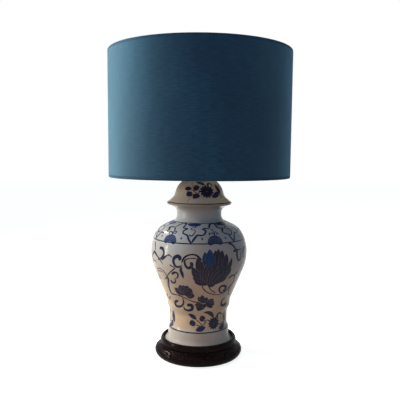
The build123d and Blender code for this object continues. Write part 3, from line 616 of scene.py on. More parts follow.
def opal_diffuser():
    """Opal polycarbonate: milky and softly see-through, with a satin skin."""
    material, tree, shader, place = begin("opal_diffuser")
    colour = clouded(tree, place, 20, 2, 0.35, 0.65, srgb("ece9e2"), srgb("dfdbd2"))
    finish_with(tree, shader, Base_Color=colour, Roughness=patchy(tree, place, 8, 2, 0.3, 0.7, 0.28, 0.36),
                Subsurface_Weight=0.4, Subsurface_Radius=(1.0, 0.9, 0.8), Subsurface_Scale=4 * MM,
                Normal=pebbled(tree, place, 0.5, 1, 0.006))
    return material


def green_felt():
    """Dark green wool felt: matted fibres with a dusty nap."""
    material, tree, shader, place = begin("felt")
    fibres = patches(tree, place, 0.9, 5, 0.7, stretch=(1.0, 0.35, 1.0))
    tufts = put(tree, "MapRange", {0: fibres, 1: 0.35, 2: 0.7}, **SMOOTH)
    colour = put(tree, "Mix", {0: tufts, 6: srgb("1f2f26"), 7: srgb("3a4d40")}, **COLOURS)
    relief = put(tree, "Bump", {"Height": fibres, "Distance": 0.2 * MM, "Strength": 1.0})
    finish_with(tree, shader, Base_Color=colour, Roughness=0.97, Specular_IOR_Level=0.1, Sheen_Weight=0.3,
                Sheen_Roughness=0.5, Sheen_Tint=srgb("8a9a8c"), Normal=relief)
    return material


def seen_rays(tree):
    """1 for the rays that show the room itself, to the eye, in a reflection or through glass."""
    rays = put(tree, "LightPath").node.outputs
    seen = rays["Is Camera Ray"]
    for kind in ("Is Glossy Ray", "Is Transmission Ray"):
        seen = put(tree, "Math", {0: seen, 1: rays[kind]}, operation="MAXIMUM")
    return seen


def pale_floor():
    """A matt floor that is white to the eye and to reflections, and keeps the lamp's shadow. The light that
    it throws back on the lamp is that of a warm wooden table."""
    material, tree, shader, place = begin("pale_floor")
    seen = seen_rays(tree)
    pale = patches(tree, place, 300)
    pale = put(tree, "Mix", {0: pale, 6: srgb("d6d5d2"), 7: srgb("dcdbd8")}, **COLOURS)
    colour = put(tree, "Mix", {0: seen, 6: srgb("8f8173"), 7: pale}, **COLOURS)
    finish_with(tree, shader, Base_Color=colour, Roughness=0.9, Specular_IOR_Level=0.1)
    glow = put(tree, "Mix", {0: seen, 6: srgb("ffc896"), 7: WHITE}, **COLOURS)
    strength = put(tree, "MapRange", {0: seen, 3: FLOOR_WARMTH, 4: FLOOR_WHITE})
    glow = put(tree, "Emission", {"Color": glow, "Strength": strength})
    both = put(tree, "AddShader", {0: shader.outputs[0], 1: glow})
    tree.links.new(both, tree.nodes["Material Output"].inputs["Surface"])
    return material


def pale_room(scene):
    """A white room to the eye, whose light on the lamp is a dim, slightly blue grey."""
    world = bpy.data.worlds.new("pale_room")
    scene.world = world
    world.use_nodes = True
    tree = world.node_tree
    seen = seen_rays(tree)
    height = put(tree, "SeparateXYZ", {0: put(tree, "TexCoord", output="Object")}, 2)
    rise = put(tree, "MapRange", {0: height, 2: 0.7}, **SMOOTH)
    sky = put(tree, "Mix", {0: rise, 6: srgb("dce1e8"), 7: srgb("c4daf4")}, **COLOURS)
    sky = put(tree, "Mix", {0: seen, 6: sky, 7: WHITE}, **COLOURS)
    strength = put(tree, "MapRange", {0: seen, 3: ROOM_LIGHT, 4: 1.0})
    room = tree.nodes["Background"]
    tree.links.new(sky, room.inputs["Color"])
    tree.links.new(strength, room.inputs["Strength"])


# ---------------------------------------------------------------- settings
def colour_setting(name, about, colour):
    """A colour setting of the lamp's look."""
    return FloatVectorProperty(name=name, description=about, subtype="COLOR", size=3,
                               default=srgb(colour)[:3], min=0, max=1)


class JarLampLook(bpy.types.PropertyGroup):
    """Sizes and colours that set the lamp's look."""

    glaze: colour_setting("Glaze", "Cream of the porcelain's glaze", "a69a87")
    # painted cool light: the blue-grey laid on the glaze up to the neck, and on the foot
    glaze_painted_cool: colour_setting("Thin glaze", "Blue-grey of the glaze round the neck", "85929d")
    glaze_shade: colour_setting("Glaze shade", "Grey that the glaze clouds to", "8b8983")
    wood: colour_setting("Wood", "Lacquered wood of the stand", "060304")
    cloth: colour_setting("Cloth", "Shade cloth, face on", "16304a")
    # painted sheen: the lighter colour of patches where the nap lies the other way
    cloth_painted_sheen: colour_setting("Cloth, brushed", "Shade cloth where its nap lies the other way", "25506c")
    cloth_nap: colour_setting("Nap", "Pale light that the cloth's nap catches", "94cfe8")
    nap: FloatProperty(name="Nap strength", description="How strongly the cloth's nap catches the light",
                       default=1.0, min=0, max=1, subtype="FACTOR")
    carving: FloatProperty(name="Carving depth", description="Depth of the stand's carved grooves",
                           default=1.5 * MM, min=0, max=1.7 * MM, unit="LENGTH")
    brush: FloatProperty(name="Brush weight", description="Width of the painted lines over the drawn width",
                         default=1.5, min=0.5, max=2.0, subtype="FACTOR")
    segments: IntProperty(name="Segments", description="Faces round the jar", default=160, min=48, max=256)


# ---------------------------------------------------------------- painted patterns
# Points are (azimuth, v): degrees, and mm along the wall
# Scrolls, stems and leaves of the jar's body
BODY_SCROLLS = [
    ("taper", 2.9, [(-67.5, 196), (-63.5, 188), (-62.5, 179.5), (-63.5, 173)]),
    ("hook", 4.0, [(-63, 176), (-69, 168.5), (-72, 161), (-67.5, 156), (-59, 155)]),
    ("taper", 3.8, [(-64, 176.5), (-58, 169.5), (-53, 164), (-49, 158), (-45.5, 151.5)]),
    ("hook", 4.8, [(-52, 183), (-50.5, 186), (-46.5, 185.5), (-44, 179.5), (-44.5, 172), (-49, 164.5),
                   (-55.5, 160)]),
    ("taper", 3.8, [(-48.5, 162.5), (-44, 166.5), (-39.5, 172.5), (-35.5, 175), (-31, 170)]),
    ("hook", 5.9, [(-23, 166), (-21.5, 170), (-23, 174), (-26.5, 173), (-29.5, 166.5), (-29, 158),
                   (-26.5, 152.5), (-22.5, 152.5), (-19, 157)]),
    ("leaf", 4.8, [(-19, 153.5), (-21, 146.5), (-20, 138.5), (-19, 126)]),
    ("line", 2.7, [(-19.5, 160.5), (-18, 167.5), (-15, 174.5), (-9, 179), (-3, 178), (1.5, 171.5),
                   (3.5, 166.5)]),
    ("line", 1.6, [(-16, 166), (-13.5, 169.5), (-9, 171.5), (-2.5, 171.5)]),
    ("hook", 5.4, [(-10, 163), (-8, 160.5), (-8, 155.5), (-11, 151.5), (-14, 153.5), (-15.5, 159.5),
                   (-16, 165), (-14, 169.5)]),
    ("line", 1.9, [(-27, 150), (-32.5, 143), (-39, 134), (-44, 125.5), (-50, 116.5)]),
    ("line", 1.9, [(-35.5, 155), (-32, 152), (-28.5, 150)]),
    ("taper", 4.3, [(-44.5, 128), (-43.5, 118.5), (-46.5, 106), (-48, 94), (-46, 84), (-37.5, 83),
                    (-29.5, 82.5)]),
    ("line", 1.6, [(-63, 138), (-54.5, 142), (-48.5, 139), (-45.5, 132.5), (-44, 127)]),
    ("line", 1.3, [(-64.5, 131.5), (-55.5, 136), (-50, 134)]),
    ("leaf", 4.3, [(-63.5, 124.5), (-65.5, 117), (-62, 113)]),
    ("taper", 4.0, [(-34.5, 133), (-31, 138), (-27, 139), (-25.5, 133.5), (-28, 126.5), (-32.5, 123)]),
    ("hook", 3.8, [(-38.5, 119), (-37.5, 113), (-33, 114), (-31, 119.5), (-32.5, 123)]),
    ("line", 1.9, [(-35.5, 83), (-26.5, 80.5), (-18.5, 76), (-10, 70.5), (-3.5, 69), (2.5, 67.5)]),
    ("hook", 4.6, [(-35, 68.5), (-41, 65.5), (-45, 60.5), (-42.5, 55), (-35, 54.5), (-28.5, 59.5),
                   (-25.5, 68), (-26, 79)]),
    ("hook", 5.7, [(-19.5, 57.5), (-17, 60.5), (-12.5, 61), (-10.5, 57), (-11.5, 52), (-16.5, 49),
                   (-22.5, 49.5), (-26, 53.5), (-26.5, 56.5)]),
    ("line", 1.6, [(4, 115), (6, 104.5), (10.5, 96), (18, 89.5), (28, 85.5), (37.5, 86), (45.5, 92.5),
                   (50.5, 101), (55, 110)]),
    ("line", 1.6, [(13, 113), (15, 104), (20, 96), (26, 90)]),
    ("hook", 4.6, [(37, 94), (41, 93.5), (42, 100), (37.5, 106), (32, 105), (30.5, 98), (34, 90.5),
                   (40.5, 88)]),
    ("hook", 4.5, [(59, 58), (51, 55), (44.5, 57), (43, 64.5), (44.5, 70.5), (49, 73.5)]),
    ("taper", 3.2, [(37, 199), (42, 196.5), (45.5, 190), (48, 185), (53.5, 183), (61, 184)]),
    ("leaf", 4.0, [(50.5, 183.5), (46.5, 182.5), (42.5, 180.5)]),
    ("hook", 3.8, [(50.5, 183.5), (49, 174.5), (50.5, 165.5), (53, 160.5), (57, 163.5), (57, 172.5),
                   (59.5, 178.5)]),
    ("taper", 4.8, [(71, 186), (64, 179), (63.5, 169), (68.5, 160)]),
    ("taper", 3.5, [(41.5, 121.5), (44.5, 126.5), (48.5, 128.5), (54, 123), (55, 110)]),
    ("taper", 2.7, [(50, 127.5), (54.5, 131.5), (58.5, 136.5)]),
    ("taper", 2.4, [(57.5, 112.5), (53, 104), (51, 93.5), (58, 78), (71, 77.5)]),
    ("hook", 2.4, [(-63, 78.5), (-64.5, 70.5), (-60, 66), (-51.5, 76.5)]),
]
# A brown hairline down the lid's glaze
LID_HAIRLINE = [("line", 1.2, [(-20.8, 57.0), (-21.8, 50.0), (-17, 45.8), (-20, 36.3), (-15.5, 26.8),
                               (-19, 19.2), (-22.1, 10.5), (-21.1, 3.4)])]
# Petals of the great lotus, back to front: (base, tip, width). Two stand behind the others, in a brighter
# blue that is a painted reflection of a blue light. Six broad ones fill the flower, and the slender pointed
# ones lie over them
LOTUS_REFLECTION_TIPS = [((9.6, 147.1), (6.7, 184.9), 8.5), ((12.4, 147.1), (12.6, 190), 11.3)]
LOTUS = [
    ((13.7, 114.1), (5.5, 167.7), 18.1), ((14.4, 114.1), (14.4, 171.8), 19.9),
    ((15.1, 114.1), (23.4, 173.2), 19.9), ((15.8, 114.1), (33.1, 160.8), 18.1),
    ((12.4, 114.1), (-1.4, 148.5), 13.5), ((17.2, 114.1), (33.9, 136.1), 11.7),
    ((16.2, 148.5), (19.5, 187.6), 8.5), ((20.6, 148.5), (22.8, 189.7), 8.5),
    ((24.8, 147.1), (27.2, 186.9), 9.0), ((28.9, 141.6), (32.9, 178.7), 9.0),
    ((30.5, 130.6), (40.7, 169.1), 6.8), ((26.2, 119.6), (41.3, 147.1), 7.2),
    ((23.4, 115.5), (38.1, 132.7), 7.2), ((7.5, 130.6), (-1.4, 173.2), 10.9),
    ((10.3, 118.2), (-7.8, 154.2), 11.7), ((11, 115.5), (-7.5, 130.2), 6.8),
    ((11.7, 112.1), (-5.7, 119.9), 5.4), ((13.7, 125.1), (17.9, 162.2), 9.9),
    ((20.6, 125.1), (26.2, 155.3), 9.9), ((26.2, 125.1), (33.1, 152.6), 8.2),
    ((10.3, 118.2), (3.4, 152.6), 8.2), ((11.3, 116.2), (7.5, 155.3), 8.5),
    ((12.4, 115.5), (12.4, 158.1), 9.0), ((13.1, 114.8), (17.2, 154), 9.9),
    ((14.4, 113.4), (22, 148.5), 9.9), ((15.8, 112.1), (28.9, 149.8), 10.9),
    ((17.2, 110.7), (33.9, 138.8), 8.2), ((11, 112.1), (22.4, 110.7), 7.2),
]
SMALL_LOTUS = [((-20.5, 86), tip, 10.5) for tip in
               ((-36, 101), (-26, 110), (-20.5, 110), (-15.5, 110), (-10.5, 103.5), (-5.5, 84.5))]
SMALL_LOTUS += [((-20, 83.5), tip, 10) for tip in ((-22, 103.5), (-16, 102.5), (-12.5, 96.5))]
LEAF_CLUSTER = [
    ((9, 66), (-0.5, 83.5), 6), ((9, 66), (5, 87), 7), ((9, 66), (13, 81.5), 6), ((11.5, 67), (25, 76), 7),
    ((11.5, 67), (27.5, 68), 7), ((11.5, 67), (28, 60), 8), ((11.5, 67), (24.5, 54), 8),
    ((7, 63.5), (-6.5, 61), 6), ((7, 63.5), (-1, 49), 9), ((7, 63.5), (5, 50.5), 8),
    ((7, 63.5), (12, 56), 6),
]
# The shoulder's pointed lappets stand between these azimuths
LAPPET_POINTS = (-68, -9, 48, 108, 170, 231, 292)
# One lappet's line from one point of the collar to the next, and the scrolls that go with it
LAPPET_RISE = [(0, 201.5), (2.5, 209), (7, 219), (11, 218.5), (15.5, 220.5), (18.5, 228.5), (16.5, 233.5),
               (13, 234.5)]
LAPPET_PEAK = [(13, 234.5), (17.5, 238), (25, 240), (28.5, 249.5), (33.5, 257)]
LAPPET_FALL = [(33.5, 257), (40.5, 254), (40, 238.5)]
LAPPET_FOOT = [(40, 238.5), (48, 236), (44, 228.5), (45, 222.5), (51, 218), (53.5, 209.5), (57, 201)]
LAPPET_SPAN = 57.0  # degrees that these are drawn for
COLLAR_SCROLLS = [
    ("line", 1.7, [(3.5, 249.5), (3, 240.5), (-2, 240), (-3, 235), (0, 233), (3.5, 231), (3, 224.5),
                   (0, 217.5), (-3, 218), (-3, 221.5)]),
    ("line", 1.8, [(29.5, 216), (30, 221.5), (29.5, 228), (28.5, 235), (26, 233)]),
    ("line", 1.8, [(29.5, 226.5), (34, 226), (34.5, 222), (32, 220.5)]),
    ("line", 1.8, [(29.5, 221), (26.5, 224), (23, 224), (23, 220), (24.5, 220)]),
]


def petals(shapes):
    """Petals as strokes from (base, tip, width), each bowed outwards to make a cup."""
    across, up = 0.62, 0.46  # the bend's share of the way round and of the way up
    strokes = []
    for (a0, v0), (a1, v1), width in shapes:
        bend = (a0 + across * (a1 - a0), v0 + up * (v1 - v0))
        strokes.append(("petal", width, [(a0, v0), bend, (a1, v1)]))
    return strokes


def collar_strokes():
    """The shoulder's collar: lappets, half flowers between their points, dots and hanging scrolls."""
    strokes = []
    for start, end in zip(LAPPET_POINTS, LAPPET_POINTS[1:]):
        share = (end - start) / LAPPET_SPAN
        parts = [("line", 3.0, points) for points in (LAPPET_RISE, LAPPET_PEAK, LAPPET_FALL, LAPPET_FOOT)]
        parts += COLLAR_SCROLLS + [("dot", 3.8, [(a - 1.1, 211), (a + 1.1, 211)]) for a in (13, 44)]
        parts.append(("leaf", 8.5, [(-14, 254.0), (-5, 251.5), (5, 251.5), (14, 254.0)]))
        for kind, width, points in parts:
            strokes.append((kind, width, [(start + a * share, v) for a, v in points]))
        middle = start + 29 * share
        strokes += rosette(JAR_WALL, middle, 201.5, 3, 17, 8, 9, 1, 178)
        strokes += rosette(JAR_WALL, middle, 201.5, 1, 10, 6, 5, 4, 172)
    return strokes


def waist_spray():
    """The flower spray round the jar's waist."""
    wall = JAR_WALL
    strokes = [
        ("line", 1.3, [(-4, 27.5), (2.5, 21), (8, 14.5)]),
        ("line", 1.3, [(-5, 16.5), (0.5, 14.5), (7, 14), (12, 18.5), (15.5, 23)]),
        ("line", 1.5, [(12, 21), (13, 25), (17.5, 26), (22, 24.5)]),
        ("leaf", 6.5, [(-19.5, 39.5), (-11.5, 35), (-3.5, 27.5)]),
        ("leaf", 8.0, [(-5, 4), (4.5, 8), (14, 11)]),
        ("leaf", 6.0, [(9, 45), (19.5, 43), (26.5, 36.5), (31.5, 28)]),
        ("leaf", 7.8, [(66.5, 14), (61.5, 26.5), (62, 40.5)]),
        ("leaf", 7.3, [(58.5, 18.5), (57, 8.5), (42.5, 2.5)]),
        ("line", 1.5, [(40, 14), (50, 12), (58, 16)]),
    ]
    strokes += bud(wall, 7, 29, 6.2, 60) + bud(wall, -10.5, 19, 6.5, 150) + flower_head(wall, 31.5, 17.5, 13)
    return strokes + [("hook", 3.6, [(39.5, 26.5), (39.5, 34.5), (43.5, 38), (49.5, 35), (49.5, 31.5)])]


def lid_spray():
    """The flower spray on the lid, drawn small and then spread and moved up to its place."""
    wall, spread, rise = LID_WALL, 1.07, 2.4
    strokes = [
        ("line", 1.3, [(-18, 35), (-10, 30.5), (-4.5, 26)]),
        ("line", 1.5, [(-15.5, 22), (-9, 25.5), (-1.5, 27), (0.5, 34.5)]),
        ("leaf", 6.4, [(-36.5, 36.5), (-27, 37), (-17.5, 36)]),
        ("leaf", 8.0, [(-13, 15.5), (-6.5, 21), (2, 21.5)]),
        ("leaf", 5.3, [(-10, 54), (2, 51.5), (8.5, 49), (14.5, 44)]),
        ("leaf", 7.7, [(52, 21.5), (49.5, 34.5), (45, 47)]),
        ("leaf", 7.7, [(50.5, 28.5), (38.5, 23), (27, 17.5)]),
    ]
    strokes += bud(wall, -8, 38, 6.4, 60) + bud(wall, -21, 25, 6.2, 170) + flower_head(wall, 17, 31, 14)
    strokes.append(("hook", 3.4, [(20.5, 42.5), (24.5, 50), (32, 48), (34, 43.5), (32, 42)]))
    return [(kind, width, [(spread * a, v + rise) for a, v in points]) for kind, width, points in strokes]


def wheel_line(v, width, wobble, seed):
    """A line painted all the way round, a little uneven."""
    chance = random.Random(seed)
    waves = [(chance.randint(1, 5), chance.uniform(0, 2 * pi)) for _ in range(3)]
    return ("round", width, [(a, v + wobble / 3 * sum(sin(k * radians(a) + p) for k, p in waves))
                             for a in range(-180, 181, 6)])


# ---------------------------------------------------------------- the stand's carving
# The shoulder that is carved, and the grooves of half a lobe: (azimuth from its middle, mm up the shoulder)
SHOULDER = outline((94.8, 14.5), 90, [(7, 52), (170, 4.6)], 0.8)
SHOULDER[-1] = (81.0, 28.0)
CARVED_RADIUS = 91.0  # of the shoulder, about where the grooves are
LOBE = 60  # degrees from one lobe to the next
LOBE_ARCH = [(23, 5.5), (23, 9), (21.5, 12.8), (17, 15.4), (11, 16.9), (4, 17.5), (0, 17.6)]
LOBE_SCROLL = [(5.5, 3.6), (6.5, 7.2), (9.5, 9.6), (13.5, 9.6), (16, 7.2), (15, 4.8), (12.8, 5.2)]
ARCH_DROP, SCROLL_DROP = (23, 5.2), (5.5, 3.4)


def nearest(points, azimuth, v):
    """Distance in mm from a place on the shoulder to a line of (azimuth, v) points."""
    best = 99.0
    x, scale = radians(azimuth) * CARVED_RADIUS, radians(1) * CARVED_RADIUS
    for (a0, v0), (a1, v1) in zip(points, points[1:]):
        ax, bx = a0 * scale, a1 * scale
        t = ((x - ax) * (bx - ax) + (v - v0) * (v1 - v0)) / ((bx - ax) ** 2 + (v1 - v0) ** 2)
        t = min(max(t, 0), 1)
        best = min(best, hypot(x - ax - t * (bx - ax), v - v0 - t * (v1 - v0)))
    return best


def carved_depth(azimuth, v):
    """How deep the carver has cut at a place on the shoulder, as a share of the full depth."""
    folded = abs((azimuth + LOBE / 2) % LOBE - LOBE / 2)
    arch, scroll = nearest(LOBE_ARCH, folded, v), nearest(LOBE_SCROLL, folded, v)
    drop, small = (hypot(radians(folded - a) * CARVED_RADIUS, v - up) for a, up in (ARCH_DROP, SCROLL_DROP))
    # how far off each groove or drop is, its half width in mm, its depth share and how square it is cut
    cut = max(share * exp(-((away / half) ** square)) for away, half, share, square in (
        (arch, 1.35, 1.0, 2), (scroll, 0.95, 0.8, 2), (drop, 2.1, 1.1, 4), (small, 1.5, 0.9, 4)))
    # the ground between the lobes is lowered too
    crown = next((v0 + (v1 - v0) * (folded - a0) / (a1 - a0)
                  for (a1, v1), (a0, v0) in zip(LOBE_ARCH, LOBE_ARCH[1:]) if a0 <= folded < a1), 0.0)
    ground = 0.0
    if folded >= ARCH_DROP[0] or v > crown:
        ground = 0.45 * min(1.0, arch / 1.6) * min(1.0, max(0.0, (20.0 - v) / 2.5)) * min(1.0, v / 3)
    return min(1.1, max(cut, ground) * min(1.0, max(0.0, v / 2)))


# ---------------------------------------------------------------- operators
class JARLAMP_OT_stage(bpy.types.Operator):
    """Puts up the camera, the pale floor and the soft lamps round the lamp"""

    bl_idname = "jar_lamp.stage"
    bl_label = "Camera, floor and light"

    def execute(self, context):
        scene = context.scene
        scene.view_settings.view_transform = "Standard"
        bpy.ops.object.select_all(action="DESELECT")
        bpy.ops.object.camera_add()
        camera = context.object
        camera.name = "photo_camera"
        camera.data.lens, camera.data.sensor_width, camera.data.clip_start = LENS, 36, 0.05
        turn = Matrix.Rotation(radians(90 - LOOKS_DOWN), 4, "X") @ Matrix.Rotation(radians(ROLL), 4, "Z")
        camera.matrix_world = Matrix.Translation(CAMERA) @ turn
        scene.camera = camera

        bpy.ops.mesh.primitive_plane_add(size=16)
        floor = context.object
        floor.name = "floor"
        floor.data.materials.append(pale_floor())
        pale_room(scene)
        # each lamp's azimuth, its distance and height in m, the height it is aimed at, its size, power and
        # colour. The ones called glint are seen in the glaze, and the others only light it
        for name, azimuth, away, height, aim, width, tall, power, colour in (
            ("window_left", -94, 1.10, 0.80, 0.62, 0.8, 0.8, 37.0, "fff2e2"),
            ("high_glint", -28, 0.95, 1.75, 0.10, 0.07, 0.07, 3.5, "f4f2ec"),
            ("blue_glint", 27, 1.70, 0.84, 0.25, 0.07, 0.07, 0.7, "8fc8ff"),
            ("low_warm", -15, 0.60, 0.05, 0.12, 0.4, 0.08, 0.7, "ffb070"),
            ("side_glint", -80, 1.00, 0.30, 0.12, 0.12, 0.4, 5.0, "fff4e4"),
            ("ridge_glint", -120, 1.20, 1.10, 0.10, 0.30, 0.30, 14.0, "fff6ea"),
            ("room_front", 4, 2.00, 0.52, 0.36, 1.0, 0.5, 5.5, "c9defa"),
        ):
            a = radians(azimuth)
            stands = Vector((away * sin(a), -away * cos(a), height))
            bpy.ops.object.light_add(type="AREA", location=stands)
            lamp = context.object
            lamp.name = name
            lamp.data.shape, lamp.data.size, lamp.data.size_y = "RECTANGLE", width, tall
            lamp.data.energy, lamp.data.color = power, srgb(colour)[:3]
            lamp.visible_glossy = "glint" in name
            lamp.visible_diffuse = name not in ("side_glint", "ridge_glint")
            lamp.rotation_euler = (stands - Vector((0, 0, aim))).to_track_quat("Z", "Y").to_euler()
        return {"FINISHED"}


class JARLAMP_OT_porcelain(bpy.types.Operator):
    """Throws the jar and its lid on the wheel and glazes them"""

    bl_idname = "jar_lamp.porcelain"
    bl_label = "Jar and lid"

    def execute(self, context):
        glaze = glazed_porcelain()
        segments = context.scene.jar_lamp.segments
        # the jar: its foot's skirt, the wall up and over the mouth, and the inside with the rod's hole
        skirt = outline(FOOT_TURN[0], -90, [(16, 60)])
        inside = [p for p in inset(BODY, 4.5) if 50 < p[1] < 312]
        section = [(74, 35)] + skirt[::-1][:-1] + FOOT_TURN + BODY + MOUTH[1:]
        section += [(43.5, 334), (43.5, 318)] + inside[::-1]
        section += [(57.7, 47), (6.2, 47), (6.2, 41), (66, 41), (66, 35)]
        fit(turned("jar_body", section, segments), "lamp", "glazed_porcelain", glaze, "jar")
        # the lid: its wall, the rod's hole, the inside of the dome and the collar that drops into the mouth
        section = LID_WALL[1] + [(5.6, 388.42)] + outline((5.6, 383.92), 0, [(7.26,), (35.4, -78.8)]) + [
            (47.6, 338.5), (38.5, 338.5), (38.5, 322), (42.5, 322), (42.5, 334), (68.3, 334), (69.6, 334.24)]
        fit(turned("jar_lid", section, segments), "lamp", "glazed_porcelain", glaze, "lid")
        return {"FINISHED"}


class JARLAMP_OT_painting(bpy.types.Operator):
    """Paints the jar and the lid in cobalt, stroke by stroke"""

    bl_idname = "jar_lamp.painting"
    bl_label = "Blue painting"

    def execute(self, context):
        line = underglaze_cobalt("cobalt_line", "152248", "060a1e", "091028")
        lotus = underglaze_cobalt("cobalt_lotus", "222140", "09091a", "110e24", "5d5872")
        # painted reflection: the brighter blue of the lotus's two back petals stands for a blue light
        # mirrored in the glaze
        bright = underglaze_cobalt("cobalt_painted_reflection", "0b3a6c", "081a3c", "0a2b56", "1c4f82")
        spray = underglaze_cobalt("cobalt_spray", "202a58", "090e26", "0f1633")
        collar = underglaze_cobalt("cobalt_collar", "1b3768", "0a1a3c", "10264e")
        stain = underglaze_cobalt("iron_stain", "94704f", "8a6444", "855f42")
        lines = [wheel_line(FOOT_LINE, 2.4, 0.2, 1), wheel_line(COLLAR_LINE, 2.3, 0.5, 2),
                 wheel_line(NECK_LINE, 2.0, 0.4, 3)]
        # each painting with its colour, the turn from one copy to the next and how often it goes round
        front = [
            (painting("painted_scrolls", JAR_WALL, BODY_SCROLLS, seed=4), line, 180, 2),
            (painting("painted_lotus", JAR_WALL, petals(LOTUS), 0.17, 5), lotus, 180, 2),
            (painting("painted_reflection_lotus_tips", JAR_WALL, petals(LOTUS_REFLECTION_TIPS), 0.1, 15), bright, 180, 2),
            (painting("painted_small_flowers", JAR_WALL, petals(SMALL_LOTUS + LEAF_CLUSTER), 0.15, 6),
             lotus, 180, 2),
            (painting("painted_waist_spray", JAR_WALL, waist_spray(), seed=7), spray, 120, 3),
            (painting("painted_lid_spray", LID_WALL, lid_spray(), seed=8), spray, 180, 2),
            (painting("painted_collar", JAR_WALL, collar_strokes(), seed=9), collar, 0, 1),
            (painting("painted_wheel_lines", JAR_WALL, lines, 0.14, seed=10), line, 0, 1),
            (painting("painted_lid_line", LID_WALL, [wheel_line(1.6, 2.9, 0.2, 11)], seed=11), line, 0, 1),
            (painting("lid_hairline_stain", LID_WALL, LID_HAIRLINE, seed=12), stain, 0, 1),
        ]
        for piece, material, turn, count in front:
            for n in range(1, count):
                copy = turned_copy(piece, f"{piece.name}_{n + 1}", turn * n)
                fit(copy, "lamp", "glazed_porcelain", material)
            fit(piece, "lamp", "glazed_porcelain", material)
        return {"FINISHED"}


class JARLAMP_OT_stand(bpy.types.Operator):
    """Turns the wooden stand, carves its cloud lobes and bores the cord's way out; puts felt under it"""

    bl_idname = "jar_lamp.stand"
    bl_label = "Carved stand"

    def execute(self, context):
        # the foot's round edge, the shoulder, the bead and lip round the jar's foot, and the underside
        foot = outline((85.5, 1.5), 18.9, [(13.735, 71.1)])[:-1]
        bead = arc_through((81, 28), (82.3, 35.5), (80, 42))
        lip = arc_through((80, 42), (78, 43), (75, 41.5), 6)
        section = foot + SHOULDER + bead + lip + [(75, 34), (5.6, 34), (5.6, 16), (22, 16), (22, 1.5)]
        stand = turned("carved_stand", section, 720, 50)
        lengths, heights = measured(SHOULDER)[0], [z for _, z in SHOULDER]
        depth = context.scene.jar_lamp.carving / MM
        (inner, top), bottom = SHOULDER[-1], SHOULDER[0][1]

        def carve(azimuth, radius, z):
            if radius > inner - 0.1 and bottom + 0.1 < z < top + 0.1:
                i = min(bisect_right(heights, z - 0.001), len(heights) - 1)
                cut = carved_depth(azimuth, lengths[i]) * depth
                (r0, z0), (r1, z1) = SHOULDER[i - 1], SHOULDER[i]
                span = hypot(r1 - r0, z1 - z0)
                radius, z = radius - cut * (z1 - z0) / span, z + cut * (r1 - r0) / span
            return azimuth, radius, z

        reshape(stand, carve)
        # the cord's way out at the back, and the wider seat of its bush: radius, and start from the axis
        drills = []
        for radius, start in ((5.1, 12.0), (6.6, 87.5)):
            drills.append(start_piece(
                "drill", bpy.ops.mesh.primitive_cylinder_add, vertices=48, radius=radius * MM,
                depth=(100 - start) * MM, location=(0, (100 + start) / 2 * MM, 9 * MM),
                rotation=(pi / 2, 0, 0)))
        for drill in drills:
            bore = stand.modifiers.new("bore", "BOOLEAN")
            bore.operation, bore.object, bore.solver = "DIFFERENCE", drill, "EXACT"
            bpy.ops.object.select_all(action="DESELECT")
            stand.select_set(True)
            context.view_layer.objects.active = stand
            bpy.ops.object.modifier_apply(modifier=bore.name)
            bpy.data.objects.remove(drill)
        bpy.ops.object.shade_smooth_by_angle(angle=radians(50))
        fit(stand, "lamp", "lacquered_wood", lacquered_wood(), "wooden_stand")
        pad = outline((79.0, 0.0), 0, [(1.0, 90), (0.5,)], 0.3)
        pad = turned("felt_disc", pad + [(22, 1.5), (22, 0.4), (22.4, 0)], 160)
        fit(pad, "lamp", "felt", green_felt(), "felt_pad")
        return {"FINISHED"}


class JARLAMP_OT_shade(bpy.types.Operator):
    """Rolls the drum shade: velvet cloth on a laminate lining, with rolled hems over the wire hoops"""

    bl_idname = "jar_lamp.shade"
    bl_label = "Drum shade"

    def execute(self, context):
        cloth, rolled, lining = shade_cloth(), shade_cloth("hem_cloth", 0.35), shade_lining()
        low, high = SHADE_LOW + HEM, SHADE_HIGH - HEM
        rows = [low + (high - low) * i / 22 for i in range(23)]

        def wall(name, outer, inner):
            section = [(shade_radius(z) - outer, z) for z in rows]
            return turned(name, section + [(shade_radius(z) - inner, z) for z in rows[::-1]], 256, 40)

        def pull(azimuth, radius, z):
            """The cloth lies a little slack between the glue lines."""
            middle = sin(pi * (z - low) / (high - low))
            slack = 0.10 * sin(radians(azimuth * 3 + 40)) + 0.07 * sin(radians(azimuth * 7) + z / 60)
            return azimuth, radius + middle * max(0.0, slack), z

        fabric = wall("velvet_cloth", 0, 0.7)
        reshape(fabric, pull)
        fit(fabric, "shade", "shade_cloth", cloth, "shade_fabric")
        card = wall("laminate_lining", 0.7, 1.5)
        reshape(card, pull)
        fit(card, "shade", "liner", lining, "shade_liner")
        for name, edge, inwards, node in (("rolled_bottom_hem", SHADE_LOW, 1, "shade_bottom_hem"),
                                          ("rolled_top_hem", SHADE_HIGH, -1, "shade_top_hem")):
            outer = shade_radius(edge)
            wall_edge = edge + inwards * HEM
            roll = outline((outer, edge + inwards * ROLLED), -90 * inwards, [(ROLLED, -180 * inwards)], 0.5)
            section = [(outer, wall_edge)] + roll + [(outer - 2 * ROLLED, wall_edge)]
            hem = turned(name, section, 300, 60)
            gathers = random.Random(len(name))
            folds = [(gathers.randint(20, 70), gathers.uniform(0, 6), gathers.uniform(0.3, 1))
                     for _ in range(6)]

            def gather(azimuth, radius, z, outer=outer, edge=edge):
                """The cloth puckers a little where it is rolled over the hoop."""
                pucker = sum(size * sin(count * radians(azimuth) + phase) for count, phase, size in folds) / 6
                near = exp(-(((z - edge) / 4) ** 2))
                if radius > outer - 2.4:
                    radius = min(outer, radius - 0.22 * near * (1 + pucker))
                return azimuth, radius, z

            reshape(hem, gather)
            fit(hem, "shade", "shade_cloth", rolled, node)
        strip = [("round", 15.0, [(180, v) for v in (1.0, 62, 125, 188, 250)])]
        seam = painting("back_seam", measured([(shade_radius(z), z) for z in rows]), strip, 0.35, 3)
        fit(seam, "shade", "shade_cloth", cloth)
        return {"FINISHED"}


